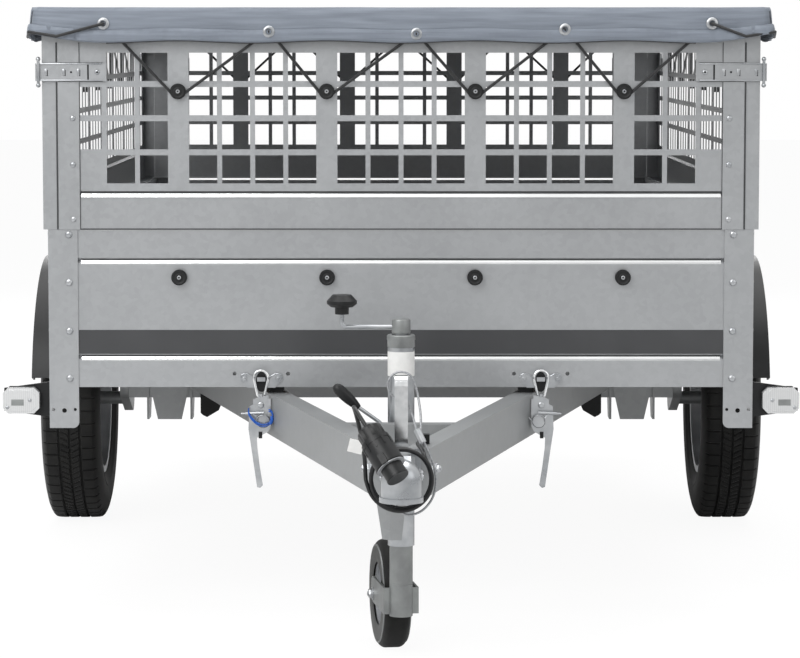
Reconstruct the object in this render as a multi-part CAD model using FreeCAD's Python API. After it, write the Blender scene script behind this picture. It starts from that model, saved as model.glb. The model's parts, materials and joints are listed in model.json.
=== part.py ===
import FreeCAD, Part
import math
import os

# Whole trailer, millimetres. X to the right, Y from the coupling to the tail, Z up from the floor.
box_width = 1360.0
box_length = 2360.0
bed_bottom = 448.0
wall_height = 305.0
mesh_height = 422.0
beam_nose = 830.0
neck_length = 174.0
lip_radius = 36.0
cover_overhang = 30.0
axle_back = 1300.0
sheet = 2.0
seat_gap = 0.3
run_gap = 0.05
overrun = 5.0

# Places that follow from the overall sizes
ball_reach = beam_nose + neck_length
nose_reach = ball_reach + lip_radius
front_y = (nose_reach - box_length - cover_overhang) / 2
rear_y = front_y + box_length
axle_y = front_y + axle_back
wall_top = bed_bottom + wall_height
mesh_bottom = wall_top + seat_gap
mesh_top = mesh_bottom + mesh_height
half_box = box_width / 2

# Corner posts
post_sheet = 2.5
post_flange = 57.0
post_side_flange = 60.0
post_drop = 79.5
post_corner = 12.0
post_hole_radius = 3.0
post_hole_spacing = 42.0
post_hole_rise = 36.0
post_middle_radius = 4.5
post_middle_drop = 2.0

# Pressed side walls
groove_depth = 6.0
groove_half = 5.0
wall_fold = 25.0
wall_lip = 15.0
lower_groove_rise = 59.0
upper_groove_drop = 59.5
panel_hole_radius = 3.8
panel_hole_rise = 26.0
panel_hole_inner = 218.5
panel_hole_outer = 322.0
wall_out = half_box - post_sheet - seat_gap
wall_in = wall_out - wall_fold

# Mesh sides
mesh_step = 8.5
mesh_fold = 20.0
mesh_groove_rise = 69.0
mesh_corner_flange = 30.0
mesh_strip = 41.0
hole = 54.0
hole_pitch = 63.5
row_pitch = 65.4
row_count = 4
group_pitch = 285.0
group_holes = 4
top_row_drop = 110.0
mesh_out = half_box + mesh_step

# Floor and its rails
rail_height = 40.0
rail_width = 40.0
rail_wall = 3.0
floor_thickness = 9.0
cross_count = 5
rail_bottom = bed_bottom + sheet + seat_gap
floor_bottom = rail_bottom + rail_height
tail_room = 40.0

# Drawbar
beam_width = 40.0
beam_height = 80.0
beam_top = 436.0
beam_nose_x = 27.0
beam_slope = 0.25
beam_half = beam_width / 2 * math.hypot(1, beam_slope)
beam_end = 1250.0
cross_reach = 481.0
cross_depth = 30.0
rest_back = 18.0
rest_size = 30.0

# Axle, arms and pivot
axle_tube_size = 50.0
axle_tube_z = 320.0
stop_depth = 24.0
stop_x = 416.0
stop_low = 252.0
stop_outline = [(46, 53), (31, 53), (13, 49), (11, 35), (0, 26), (4, 16), (31, 0), (41, 5), (46, 10)]
arm_reach = 100.0
arm_thickness = 20.0
arm_boss = 30.0
ear_sheet = 5.0
ear_spacing = 100.0
ear_middle = beam_nose_x + (beam_nose + axle_back - arm_reach) * beam_slope
ear_in = ear_middle - (ear_spacing + ear_sheet) / 2
ear_out = ear_in + ear_spacing
ear_low = 75.0
pivot_z = 405.0
pin_radius = 8.0
lug_radius = 18.0
lug_thickness = 10.0

# Road wheels
tyre_radius = 281.0
tyre_width = 135.0
wheel_wall_gap = 8.3
wheel_x = wall_out + wheel_wall_gap + tyre_width / 2
bead_radius = 165.0
bead_half = 52.0
shoulder_half = 50.0
shoulder_drop = 13.0
belly_radius = 232.0
edge_share = 0.35
rim_wall = 4.0
rim_lip = 11.0
dish_offset = 22.0
hub_radius = 40.0
hub_half = 36.0
hub_cap_radius = 24.0
hub_cap_depth = 18.0
stub_radius = 15.0
stud_circle = 50.0
stud_radius = 8.5
stud_height = 12.0
stud_count = 4
vent_circle = 112.0
vent_radius = 14.0
vent_count = 10

# Mudguards
guard_gap = 50.0
guard_sheet = 4.0
guard_lip = 30.0
guard_lip_gap = 5.5
guard_start = 14.0
half_turn = 180.0

# Jockey wheel
clamp_offset = 31.0
jockey_reach = cross_reach - cross_depth / 2 - clamp_offset
jockey_tube_radius = 24.0
jockey_tube_low = 210.0
jockey_tube_high = 590.0
jockey_leg_radius = 21.0
jockey_leg_wall = 3.0
jockey_leg_low = 140.0
jockey_leg_high = 500.0
jockey_wheel_radius = 100.0
jockey_wheel_width = 50.0
jockey_trail = 128.0
jockey_yaw = 9.0
jockey_rim_radius = 62.0
jockey_bead_share = 0.8
jockey_belly_radius = 84.0
jockey_shoulder_share = 0.5
jockey_shoulder_drop = 4.0
jockey_boss_radius = 15.0
jockey_axle_radius = 6.0
jockey_hub_half = 28.0
caster_low = 81.0
pin_depth = 45.0
pin_seat = 20.0
cheek_low = 84.0
cheek_high = 132.0
cheek_sheet = 4.0
clamp_wall = 6.0
clamp_height = 40.0
clamp_top = 428.0
guard_raise = 13.0
guard_sheet_y = 4.0
guard_top_plan = [(-54, -10), (-11, -35), (16, -19.5)]
guard_foot_plan = [(-34, -14), (-21, -24.5), (1, -26)]
lever_ear = 16.0
lever_ear_top = 424.0
lever_rod_radius = 3.5
lever_grip_radius = 9.5
lever_grip_length = 43.0
lever_grip_start = (-79.0, -6.0, 462.0)
lever_grip_end = (-111.0, -10.0, 492.0)
crank_head_radius = 12.5
crank_head_height = 28.0
crank_rod_radius = 4.0
crank_bend = 10.0
crank_reach = 106.0
crank_rise = 36.0
knob_radius = 27.0
knob_top_radius = 17.0
knob_waist_radius = 20.0
knob_neck_radius = 12.5
knob_neck = 13.0
knob_height = 22.0

# Coupling
ball_radius = 25.2
ball_z = 400.0
head_radius = 33.0
head_low = 372.0
lip_height = 8.0
neck_width = 46.0
neck_height = 52.0
hump_half = 16.0
hump_rise = 41.2
hump_run = (40.0, 105.0, 116.0)
handle_width = 22.0
handle_bar = 6.0
handle_rise = 136.0
handle_depth = 48.0

# Lead with its plug, and the safety wire, as points from the ball's centre on the floor
lead_radius = 3.5
coil_back = 64.0
coil_inner = 44.5
coil_outer = 54.5
coil_half = 11.0
lead_in = [(38, 233, 444), (38, 195, 444), (26, 155, 448.5), (30, 115, 447.5), (30, 75.1, 447.5)]
lead_out = [(-58.4, 66, 402), (-59.5, 70, 432), (-64, 80, 463), (-70.5, 80.5, 492),
            (-76, 62, 515), (-77.8, 34, 523.7), (-70.5, 5.7, 515.9), (-56.3, -8.3, 494.8)]
plug_mouth = (-4.7, -58.9, 418.6)
plug_profile = [(9, 0), (20, 8), (20, 28), (24.6, 29), (24.6, 80), (18.5, 81), (18.5, 105)]
wire_radius = 2.0
wire_route = [(-10, 82, 373.9), (-10, 81.5, 350), (8, 80, 336), (34, 79, 343), (53, 80, 366),
              (58, 82, 394), (54, 85, 420), (44, 91, 445), (31, 96, 468), (33, 113, 492),
              (30, 130, 518), (25, 138, 541.6), (16.3, 142, 565.5), (-8.7, 142, 569.9),
              (-25, 142, 550.4), (-16.3, 142, 526.5), (8.7, 142, 522.1), (18, 127, 500),
              (25, 107, 476), (28.6, 99.4, 464)]
ferrule_radius = 6.0
ferrule_low = (36.0, 94.0, 456.0)
ferrule_high = (26.0, 101.0, 477.0)
gland_half = 10.0
gland_depth = 16.0
gland_height = 16.0

# Cover
cover_sheet = 4.0
cover_drop = 62.0
cover_side = 26.0
cover_corner = 14.0
bar_radius = 10.0
bar_count = 4

# Tailgate
gate_gap = 5.0
gate_bottom_gap = 15.0
hinge_out = 8.0
hinge_rise = 7.0
knuckle_radius = 6.0
hinge_pin_radius = 3.0
hinge_length = 60.0
hinge_inset = 280.0
hinge_x = half_box - hinge_inset
leaf_sheet = 3.0
leaf_height = 55.0
sill_drop = 48.0
sill_gap = 5.5

# Lamps and small fittings
lamp_side = 88.0
lamp_out = half_box + lamp_side
lamp_width = 70.0
lamp_height = 50.0
lamp_depth = 22.0
lamp_chamfer = 10.0
lamp_middle_z = 424.0
lamp_arm_sheet = 8.0
arm_root_half = 34.0
arm_tip_half = 22.0
rear_lamp_width = 200.0
rear_lamp_height = 52.0
rear_lamp_depth = 26.0
rear_lamp_inset = 210.0
rear_lamp_x = half_box - rear_lamp_inset
button_radius = 15.0
button_height = 12.0
button_waist = 9.0
mesh_button_drop = 124.0
wall_button_drop = 92.0
latch_height = 34.0
latch_sheet = 3.0
latch_length = 124.0
latch_hook = 12.0
latch_drop = 120.0
catch_side = 15.0
catch_x = beam_nose_x + beam_half + beam_nose * beam_slope + catch_side
catch_middle_z = 464.0
catch_sheet = 3.0
catch_outline = [(-41, 2), (-38, 9), (-28, 10), (-14, 1), (14, 1), (28, 10), (38, 9), (41, 2),
                 (27, -17), (-27, -17)]
tongue_reach = 9.0
tongue_width = 16.0
ring_gap = 5.5
ring_wire = 1.9
ring_top_radius = 14.0
ring_foot_radius = 7.0
ring_top_z = 468.3
ring_foot_z = 436.7
lever_sheet = 6.0
lever_outline = [(14, 418), (22.3, 414), (24.3, 369.2), (17.5, 323), (8.1, 256.3), (2.1, 254.6),
                 (-3, 259.7), (3, 297.4), (7.2, 331.6), (8.1, 352.1), (-1.3, 357.2),
                 (-13.3, 364.1), (-18.4, 374.4), (-18.4, 398), (-10, 404)]
bracket_outline = [(14.1, 425.7), (10.7, 429.4), (-15, 435.5), (-15, 393.2), (15.8, 398.3)]
lever_boss_radius = 10.0
lever_boss_offset = -4.7
lever_boss_z = 384.6
hook_radius = 3.0
arm_low_z = 398.0
arm_high_z = 428.0


def point(x, y, z):
    return FreeCAD.Vector(x, y, z)


AXIS_X = point(1, 0, 0)
AXIS_Y = point(0, 1, 0)
AXIS_Z = point(0, 0, 1)
ORIGIN = point(0, 0, 0)


def block(low_x, high_x, low_y, high_y, low_z, high_z):
    """Rectangular block between two corners."""
    return Part.makeBox(high_x - low_x, high_y - low_y, high_z - low_z, point(low_x, low_y, low_z))


def rod_x(radius, low, high, y, z):
    return Part.makeCylinder(radius, high - low, point(low, y, z), AXIS_X)


def rod_y(radius, low, high, x, z):
    return Part.makeCylinder(radius, high - low, point(x, low, z), AXIS_Y)


def rod_z(radius, low, high, x, y):
    return Part.makeCylinder(radius, high - low, point(x, y, low), AXIS_Z)


def prism_x(outline, low, high):
    """Outline of (y, z) pairs drawn out along X."""
    wire = Part.makePolygon([point(low, y, z) for y, z in outline + outline[:1]])
    return Part.Face(wire).extrude(point(high - low, 0, 0))


def prism_y(outline, low, high):
    """Outline of (x, z) pairs drawn out along Y."""
    wire = Part.makePolygon([point(x, low, z) for x, z in outline + outline[:1]])
    return Part.Face(wire).extrude(point(0, high - low, 0))


def prism_z(outline, low, high):
    """Outline of (x, y) pairs drawn out along Z."""
    wire = Part.makePolygon([point(x, y, low) for x, y in outline + outline[:1]])
    return Part.Face(wire).extrude(point(0, 0, high - low))


def mirrored(shape):
    return shape.mirror(ORIGIN, AXIS_X)


def both_sides(shape):
    return [shape, mirrored(shape)]


def turned(outline, centre, degrees=360.0, start=0.0):
    """Outline of (x, radius) pairs turned about the X axis through centre."""
    wire = Part.makePolygon([point(x, 0, radius) for x, radius in outline + outline[:1]])
    solid = Part.Face(wire).revolve(ORIGIN, AXIS_X, degrees)
    solid.rotate(ORIGIN, AXIS_X, start)
    solid.translate(centre)
    return solid


def turned_z(outline, x, y):
    """Outline of (radius, z) pairs turned about the vertical through a place."""
    wire = Part.makePolygon([point(radius, 0, z) for radius, z in outline + outline[:1]])
    solid = Part.Face(wire).revolve(ORIGIN, AXIS_Z, 360)
    solid.translate(point(x, y, 0))
    return solid


def bent_bar(points, radius, bend=0):
    """Round bar along straight runs joined by tangent arcs, as large as the runs allow unless given."""
    share = 0.45
    edges = []
    bends = []
    start = points[0]
    for before, corner, after in zip(points, points[1:], points[2:]):
        run_in = corner - before
        run_out = after - corner
        half = run_in.getAngle(run_out) / 2
        shorter = min(run_in.Length, run_out.Length)
        arc = bend or share * shorter / math.tan(half)
        setback = arc * math.tan(half)
        unit_in = run_in / run_in.Length
        unit_out = run_out / run_out.Length
        side = unit_out - unit_in
        side = side / side.Length
        entry = corner - unit_in * setback
        leave = corner + unit_out * setback
        middle = corner + side * (arc / math.cos(half) - arc)
        edges.append(Part.LineSegment(start, entry).toShape())
        edges.append(Part.Arc(entry, middle, leave).toShape())
        bends.append(arc)
        start = leave
    edges.append(Part.LineSegment(start, points[-1]).toShape())
    path = Part.Wire(edges)
    circle = Part.Wire(Part.makeCircle(radius, points[0], points[1] - points[0]))
    bar = path.makePipeShell([circle], True, True)
    return bar, path.Length, bends


def cord_tube(name, points, radius):
    """Tube of one stretch of cord; its bends and volume are printed to be compared."""
    bar, length, bends = bent_bar(points, radius)
    share = bar.Volume / (math.pi * radius * radius * length)
    print(name, "length", round(length), "volume share", round(share, 3), "bends",
          [round(bend, 1) for bend in bends])
    return bar


def save(name, solids):
    """One node as one STEP file, from one solid or several that do not touch."""
    shape = solids[0] if len(solids) == 1 else Part.makeCompound(solids)
    shape.exportStep(os.path.join("parts", name + ".step"))


def sheet_outline(bottom, top, grooves, fold, lip, foot):
    """Section of a pressed wall as (depth, z): grooves outside, a folded crown and a folded foot."""
    outer = [(0, bottom)]
    inner = []
    for z in grooves:
        outer += [(0, z - groove_half), (groove_depth, z), (0, z + groove_half)]
        inner = [(sheet, z + groove_half), (sheet + groove_depth, z), (sheet, z - groove_half)] + inner
    outer.append((0, top))
    crown = [(fold, top), (fold, top - sheet), (sheet, top - sheet)]
    if lip:
        crown = [(fold, top), (fold, top - lip), (fold - sheet, top - lip),
                 (fold - sheet, top - sheet), (sheet, top - sheet)]
    base = [(sheet, bottom)]
    if foot:
        base = [(sheet, bottom + sheet), (foot, bottom + sheet), (foot, bottom)]
    return outer + crown + inner + base


def wall_outline():
    grooves = [bed_bottom + lower_groove_rise, wall_top - upper_groove_drop]
    return sheet_outline(bed_bottom, wall_top, grooves, wall_fold, wall_lip, 0)


def mesh_outline():
    return sheet_outline(mesh_bottom, mesh_top, [mesh_bottom + mesh_groove_rise], mesh_fold, 0, wall_fold)


def hole_places(length):
    """Middles of the mesh columns: groups of holes with a solid column between the groups."""
    places = []
    groups = int(length / group_pitch)
    for group in range(groups):
        middle = (group - (groups - 1) / 2) * group_pitch
        for column in range(group_holes):
            places.append(middle + (column - (group_holes - 1) / 2) * hole_pitch)
    return places


def hole_rows():
    return [mesh_top - top_row_drop - row * row_pitch for row in range(row_count)]


def make_posts():
    """Angle posts at the four corners, longer than the walls, with lamp holes at the foot."""
    low = bed_bottom - post_drop
    inner = half_box - post_flange
    face = block(inner, half_box, front_y, front_y + post_sheet, low, wall_top)
    corner_edges = [e for e in face.Edges if e.BoundBox.YLength > sheet
                    and abs(e.BoundBox.XMin - inner) < sheet and abs(e.BoundBox.ZMin - low) < sheet]
    face = face.makeFillet(post_corner, corner_edges)
    side = block(half_box - post_sheet, half_box, front_y, front_y + post_side_flange, low, wall_top)
    post = face.fuse(side)
    middle = (inner + half_box) / 2
    hole_z = low + post_hole_rise
    for x in (middle - post_hole_spacing / 2, middle + post_hole_spacing / 2):
        post = post.cut(rod_y(post_hole_radius, front_y - overrun, front_y + overrun, x, hole_z))
    post = post.cut(rod_y(post_middle_radius, front_y - overrun, front_y + overrun, middle,
                          hole_z - post_middle_drop))
    post = post.removeSplitter()
    front = both_sides(post)
    rear = [solid.mirror(point(0, (front_y + rear_y) / 2, 0), AXIS_Y) for solid in front]
    save("front_posts", front)
    save("rear_posts", rear)


def make_walls():
    """Front and side walls of the box, pressed from sheet with two grooves."""
    outline = wall_outline()
    front = prism_x([(front_y + post_sheet + seat_gap + d, z) for d, z in outline],
                    -(wall_in - seat_gap), wall_in - seat_gap)
    holes = []
    for x in (panel_hole_inner, panel_hole_outer):
        holes += both_sides(rod_y(panel_hole_radius, front_y - overrun, front_y + sheet * overrun, x,
                                  bed_bottom + panel_hole_rise))
    front = front.cut(Part.makeCompound(holes)).removeSplitter()
    save("front_panel", [front])
    end_gap = post_sheet + seat_gap
    right = prism_y([(wall_out - d, z) for d, z in outline], front_y + end_gap, rear_y - end_gap)
    save("side_panel_right", [right])
    save("side_panel_left", [mirrored(right)])


def make_meshes():
    """Punched mesh sides above the walls."""
    reach = mesh_out - mesh_corner_flange
    end_outline = [(front_y + d, z) for d, z in mesh_outline()]
    front = prism_x(end_outline, -(reach - seat_gap), reach - seat_gap)
    strip = block(reach - mesh_strip, reach - seat_gap, front_y - sheet, front_y, mesh_bottom, mesh_top)
    strips = both_sides(strip)
    cuts = []
    edge = reach - mesh_strip
    for x in hole_places(edge * 2 + group_pitch):
        if abs(x) + hole / 2 > edge:
            continue
        for z in hole_rows():
            cuts.append(block(x - hole / 2, x + hole / 2, front_y - overrun, front_y + overrun,
                              z - hole / 2, z + hole / 2))
    end_column = (group_pitch * 2 - hole_pitch / 2 - hole / 2)
    for z in hole_rows()[1:3]:
        for side in (-1, 1):
            low, high = sorted((side * (end_column + hole_pitch), side * edge))
            cuts.append(block(low, high, front_y - overrun, front_y + overrun, z - hole / 2, z + hole / 2))
    front = front.fuse(strips).cut(Part.makeCompound(cuts)).removeSplitter()
    save("front_mesh", [front])
    rear = front.mirror(point(0, (front_y + rear_y) / 2, 0), AXIS_Y)
    save("rear_mesh", [rear])

    right = prism_y([(mesh_out - d, z) for d, z in mesh_outline()], front_y, rear_y)
    for low in (front_y, rear_y - sheet):
        flange = block(reach, mesh_out, low, low + sheet, mesh_bottom, mesh_top)
        right = right.fuse(flange)
    cuts = []
    middle_y = (front_y + rear_y) / 2
    for place in hole_places(box_length - sheet):
        for z in hole_rows():
            cuts.append(block(mesh_out - overrun, mesh_out + overrun, middle_y + place - hole / 2,
                              middle_y + place + hole / 2, z - hole / 2, z + hole / 2))
    right = right.cut(Part.makeCompound(cuts)).removeSplitter()
    save("side_mesh_right", [right])
    save("side_mesh_left", [mirrored(right)])


def make_floor():
    """Rails under the floor, the floor board and the folded sill at the tail."""
    low_y = front_y + post_sheet + seat_gap + sheet + groove_depth + seat_gap
    high_y = rear_y - tail_room
    reach = wall_out - sheet - groove_depth - seat_gap
    top = floor_bottom
    channel = [(reach, rail_bottom), (reach, top), (reach - rail_width, top),
               (reach - rail_width, top - rail_wall), (reach - rail_wall, top - rail_wall),
               (reach - rail_wall, rail_bottom + rail_wall),
               (reach - rail_width, rail_bottom + rail_wall), (reach - rail_width, rail_bottom)]
    save("side_rails", both_sides(prism_y(channel, low_y, high_y)))
    cross = []
    span = high_y - low_y - rail_width
    inner = reach - rail_width - seat_gap
    for index in range(cross_count):
        y = low_y + span * index / (cross_count - 1)
        section = [(y, rail_bottom), (y + rail_width, rail_bottom),
                   (y + rail_width, rail_bottom + rail_wall), (y + rail_wall, rail_bottom + rail_wall),
                   (y + rail_wall, top - rail_wall), (y + rail_width, top - rail_wall),
                   (y + rail_width, top), (y, top)]
        cross.append(prism_x(section, -inner, inner))
    save("cross_rails", cross)
    board_top = top + seat_gap + floor_thickness
    groove_room = wall_in - seat_gap
    save("floor", [block(-groove_room, groove_room, front_y + wall_fold + post_sheet + seat_gap * 2,
                         high_y, top + seat_gap, board_top)])
    sill_top = bed_bottom + sheet
    sill = [(high_y - rail_width, sill_top), (rear_y, sill_top), (rear_y, sill_top - sill_drop),
            (rear_y - sheet, sill_top - sill_drop), (rear_y - sheet, sill_top - sheet),
            (high_y - rail_width, sill_top - sheet)]
    sill_half = half_box - post_flange - seat_gap
    save("rear_sill", [prism_x(sill, -sill_half, sill_half)])


def beam_outline():
    """Plan of the right beam, from the nose back to the axle."""
    nose = front_y - beam_nose
    tail = front_y + beam_end
    tail_x = beam_nose_x + (tail - nose) * beam_slope
    return [(beam_nose_x - beam_half, nose), (beam_nose_x + beam_half, nose),
            (tail_x + beam_half, tail), (tail_x - beam_half, tail)]


def beam_inner_x(y):
    """Inner face of the right beam at a place along Y."""
    return beam_nose_x - beam_half + (y - (front_y - beam_nose)) * beam_slope


def make_drawbar():
    """The V of two box beams, the cross piece, the nose guard and the rubber rests."""
    right = prism_z(beam_outline(), beam_top - beam_height, beam_top)
    keep = block(seat_gap, half_box, front_y - nose_reach, rear_y, 0, wall_top)
    right = right.common(keep)
    save("drawbar_right", [right])
    save("drawbar_left", [mirrored(right)])
    middle = front_y - cross_reach
    low = middle - cross_depth / 2
    high = middle + cross_depth / 2
    low_x = beam_inner_x(low) - seat_gap
    high_x = beam_inner_x(high) - seat_gap
    plan = [(-low_x, low), (low_x, low), (high_x, high), (-high_x, high)]
    save("drawbar_cross", [prism_z(plan, beam_top - beam_height, beam_top)])


def make_axle():
    """Square axle tube, trailing arms with stubs, and the ears that carry the bed pivot."""
    tube_y = axle_y - arm_reach
    half = axle_tube_size / 2
    arm_in = wheel_x - tyre_width / 2 - hub_half - arm_thickness
    tube = block(-arm_in + seat_gap, arm_in - seat_gap, tube_y - half, tube_y + half,
                 axle_tube_z - half, axle_tube_z + half)
    save("axle_tube", [tube])

    arm_out = arm_in + arm_thickness
    boss = rod_x(arm_boss, arm_in, arm_out, tube_y, axle_tube_z)
    end = rod_x(arm_boss, arm_in, arm_out, axle_y, tyre_radius)
    drop = axle_tube_z - tyre_radius
    length = math.hypot(arm_reach, drop)
    side_y = drop / length * arm_boss
    side_z = arm_reach / length * arm_boss
    web = prism_x([(tube_y + side_y, axle_tube_z + side_z), (axle_y + side_y, tyre_radius + side_z),
                   (axle_y - side_y, tyre_radius - side_z), (tube_y - side_y, axle_tube_z - side_z)],
                  arm_in, arm_out)
    stub = rod_x(stub_radius, arm_out - overrun, wheel_x + hub_half - overrun, axle_y, tyre_radius)
    arm = boss.fuse([end, web, stub]).removeSplitter()
    save("arm_right", [arm])
    save("arm_left", [mirrored(arm)])

    base = axle_tube_z - ear_low
    side = [(tube_y - half - ear_sheet, base), (tube_y + half, base),
            (axle_y + lug_radius, pivot_z), (axle_y + lug_radius, pivot_z + lug_radius),
            (axle_y - lug_radius, pivot_z + lug_radius), (tube_y - half - ear_sheet, axle_tube_z + half)]
    ears = []
    for low in (ear_in, ear_out):
        ear = prism_x(side, low, low + ear_sheet)
        ears.append(ear.cut(rod_x(pin_radius + run_gap, low - overrun, low + ear_sheet + overrun,
                                  axle_y, pivot_z)))
    saddle = block(ear_in, ear_out + ear_sheet, tube_y - half - ear_sheet, tube_y + half,
                   axle_tube_z + half + seat_gap, beam_top - beam_height - seat_gap)
    shield_low = (ear_out - ear_in) / 4
    shield = prism_y([(ear_in, beam_top - beam_height - seat_gap), (ear_in + shield_low, base),
                      (ear_out + ear_sheet - shield_low, base),
                      (ear_out + ear_sheet, beam_top - beam_height - seat_gap)],
                     tube_y - half - ear_sheet, tube_y - half - seat_gap)
    clear = block(ear_in - overrun, ear_out + ear_sheet + overrun, tube_y - half - seat_gap,
                  tube_y + half + seat_gap, axle_tube_z - half - seat_gap, axle_tube_z + half + seat_gap)
    bracket = ears[0].fuse([ears[1], saddle, shield]).cut(clear).removeSplitter()
    save("pivot_brackets", both_sides(bracket))

    middle = (ear_in + ear_out + ear_sheet) / 2
    lug_top = rail_bottom - seat_gap
    plate = prism_x([(axle_y - lug_radius, pivot_z), (axle_y + lug_radius, pivot_z),
                     (axle_y + lug_radius * 2, lug_top), (axle_y - lug_radius * 2, lug_top)],
                    middle - lug_thickness / 2, middle + lug_thickness / 2)
    eye = rod_x(lug_radius, middle - lug_thickness / 2, middle + lug_thickness / 2, axle_y, pivot_z)
    foot = block(middle - lug_thickness * 2, middle + lug_thickness * 2, axle_y - lug_radius * 3,
                 axle_y + lug_radius * 3, lug_top - ear_sheet, lug_top)
    pin = rod_x(pin_radius, ear_in - overrun, ear_out + ear_sheet + overrun, axle_y, pivot_z)
    lug = plate.fuse([eye, foot, pin]).removeSplitter()
    save("pivot_lugs", both_sides(lug))


def tyre_profile(radius, half_width, bead, half_bead, belly, shoulder, drop, lip):
    """Closed section of a tyre as a wire in the X, Z plane."""
    crown = point(shoulder, 0, radius)
    edge = point(half_width - (half_width - shoulder) * edge_share, 0, radius - drop)
    side = point(half_width, 0, belly)
    foot = point(half_bead, 0, bead)
    heel = point(half_bead, 0, bead + lip)
    upper = Part.Arc(crown, edge, side).toShape()
    mid = point((half_width * 3 + half_bead) / 4, 0, (belly + bead + lip) / 2)
    lower = Part.Arc(side, mid, heel).toShape()
    parts = [upper, lower, Part.makeLine(heel, foot)]
    flip = FreeCAD.Matrix()
    flip.A11 = -1
    left = [edge_shape.transformGeometry(flip) for edge_shape in parts]
    top = Part.makeLine(crown, point(-shoulder, 0, radius))
    base = Part.makeLine(foot, point(-half_bead, 0, bead))
    return Part.Wire(Part.__sortEdges__(parts + left + [top, base]))


def make_rubbers():
    """Rests between the drawbar and the bed, and stops in front of the axle tube."""
    y = front_y + rest_back
    x = beam_inner_x(y + rest_size / 2) + beam_width / 2
    pad = block(x - rest_size / 2, x + rest_size / 2, y, y + rest_size, beam_top + seat_gap,
                rail_bottom - seat_gap)
    outline = [(stop_x + x, stop_low + z) for x, z in stop_outline]
    stop_face = axle_y - arm_reach - axle_tube_size / 2 - seat_gap
    stop = prism_y(outline, stop_face - stop_depth, stop_face)
    save("bed_rests", both_sides(pad) + both_sides(stop))


def make_wheels():
    """Steel disc wheels with their hubs, and the tyres."""
    half = tyre_width / 2
    wire = tyre_profile(tyre_radius, half, bead_radius, bead_half, belly_radius,
                        shoulder_half, shoulder_drop, rim_lip + seat_gap)
    tyre = Part.Face(wire).revolve(ORIGIN, AXIS_X, 360)
    tyre.translate(point(wheel_x, axle_y, tyre_radius))
    save("tyre_right", [tyre])
    save("tyre_left", [mirrored(tyre)])

    out = bead_radius - seat_gap
    edge = bead_half + seat_gap
    well = out - rim_wall
    section = [(-edge - rim_wall, out + rim_lip), (-edge, out + rim_lip), (-edge, out), (edge, out),
               (edge, out + rim_lip), (edge + rim_wall, out + rim_lip), (edge + rim_wall, well),
               (dish_offset + rim_wall, well), (dish_offset + rim_wall, hub_radius),
               (hub_half, hub_radius), (hub_half, hub_cap_radius),
               (hub_half + hub_cap_depth, hub_cap_radius), (hub_half + hub_cap_depth, 0),
               (hub_half, 0), (hub_half, stub_radius + run_gap), (-hub_half, stub_radius + run_gap),
               (-hub_half, hub_radius), (dish_offset, hub_radius), (dish_offset, well),
               (-edge - rim_wall, well)]
    rim = turned(section, ORIGIN)
    tools = []
    for index in range(vent_count):
        angle = 2 * math.pi * index / vent_count
        tools.append(rod_x(vent_radius, dish_offset - overrun, dish_offset + rim_wall + overrun,
                           vent_circle * math.sin(angle), vent_circle * math.cos(angle)))
    studs = []
    for index in range(stud_count):
        angle = 2 * math.pi * (index + 1 / 2) / stud_count
        studs.append(rod_x(stud_radius, dish_offset, dish_offset + rim_wall + stud_height,
                           (stud_circle + stud_radius) * math.sin(angle),
                           (stud_circle + stud_radius) * math.cos(angle)))
    rim = rim.cut(tools).fuse(studs).removeSplitter()
    rim.translate(point(wheel_x, axle_y, tyre_radius))
    save("rim_right", [rim])
    save("rim_left", [mirrored(rim)])


def make_mudguards():
    """Moulded arches over the wheels with a turned down outer lip."""
    inner = tyre_radius + guard_gap
    outer = inner + guard_sheet
    low_x = wall_out + seat_gap
    high_x = wheel_x + tyre_width / 2 + guard_lip_gap + guard_sheet
    section = [(low_x, inner), (low_x, outer), (high_x, outer), (high_x, inner - guard_lip),
               (high_x - guard_sheet, inner - guard_lip), (high_x - guard_sheet, inner)]
    sweep = half_turn - 2 * guard_start
    right = turned(section, point(0, axle_y, tyre_radius), sweep, guard_start - half_turn / 2)
    save("mudguard_right", [right])
    save("mudguard_left", [mirrored(right)])


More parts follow.
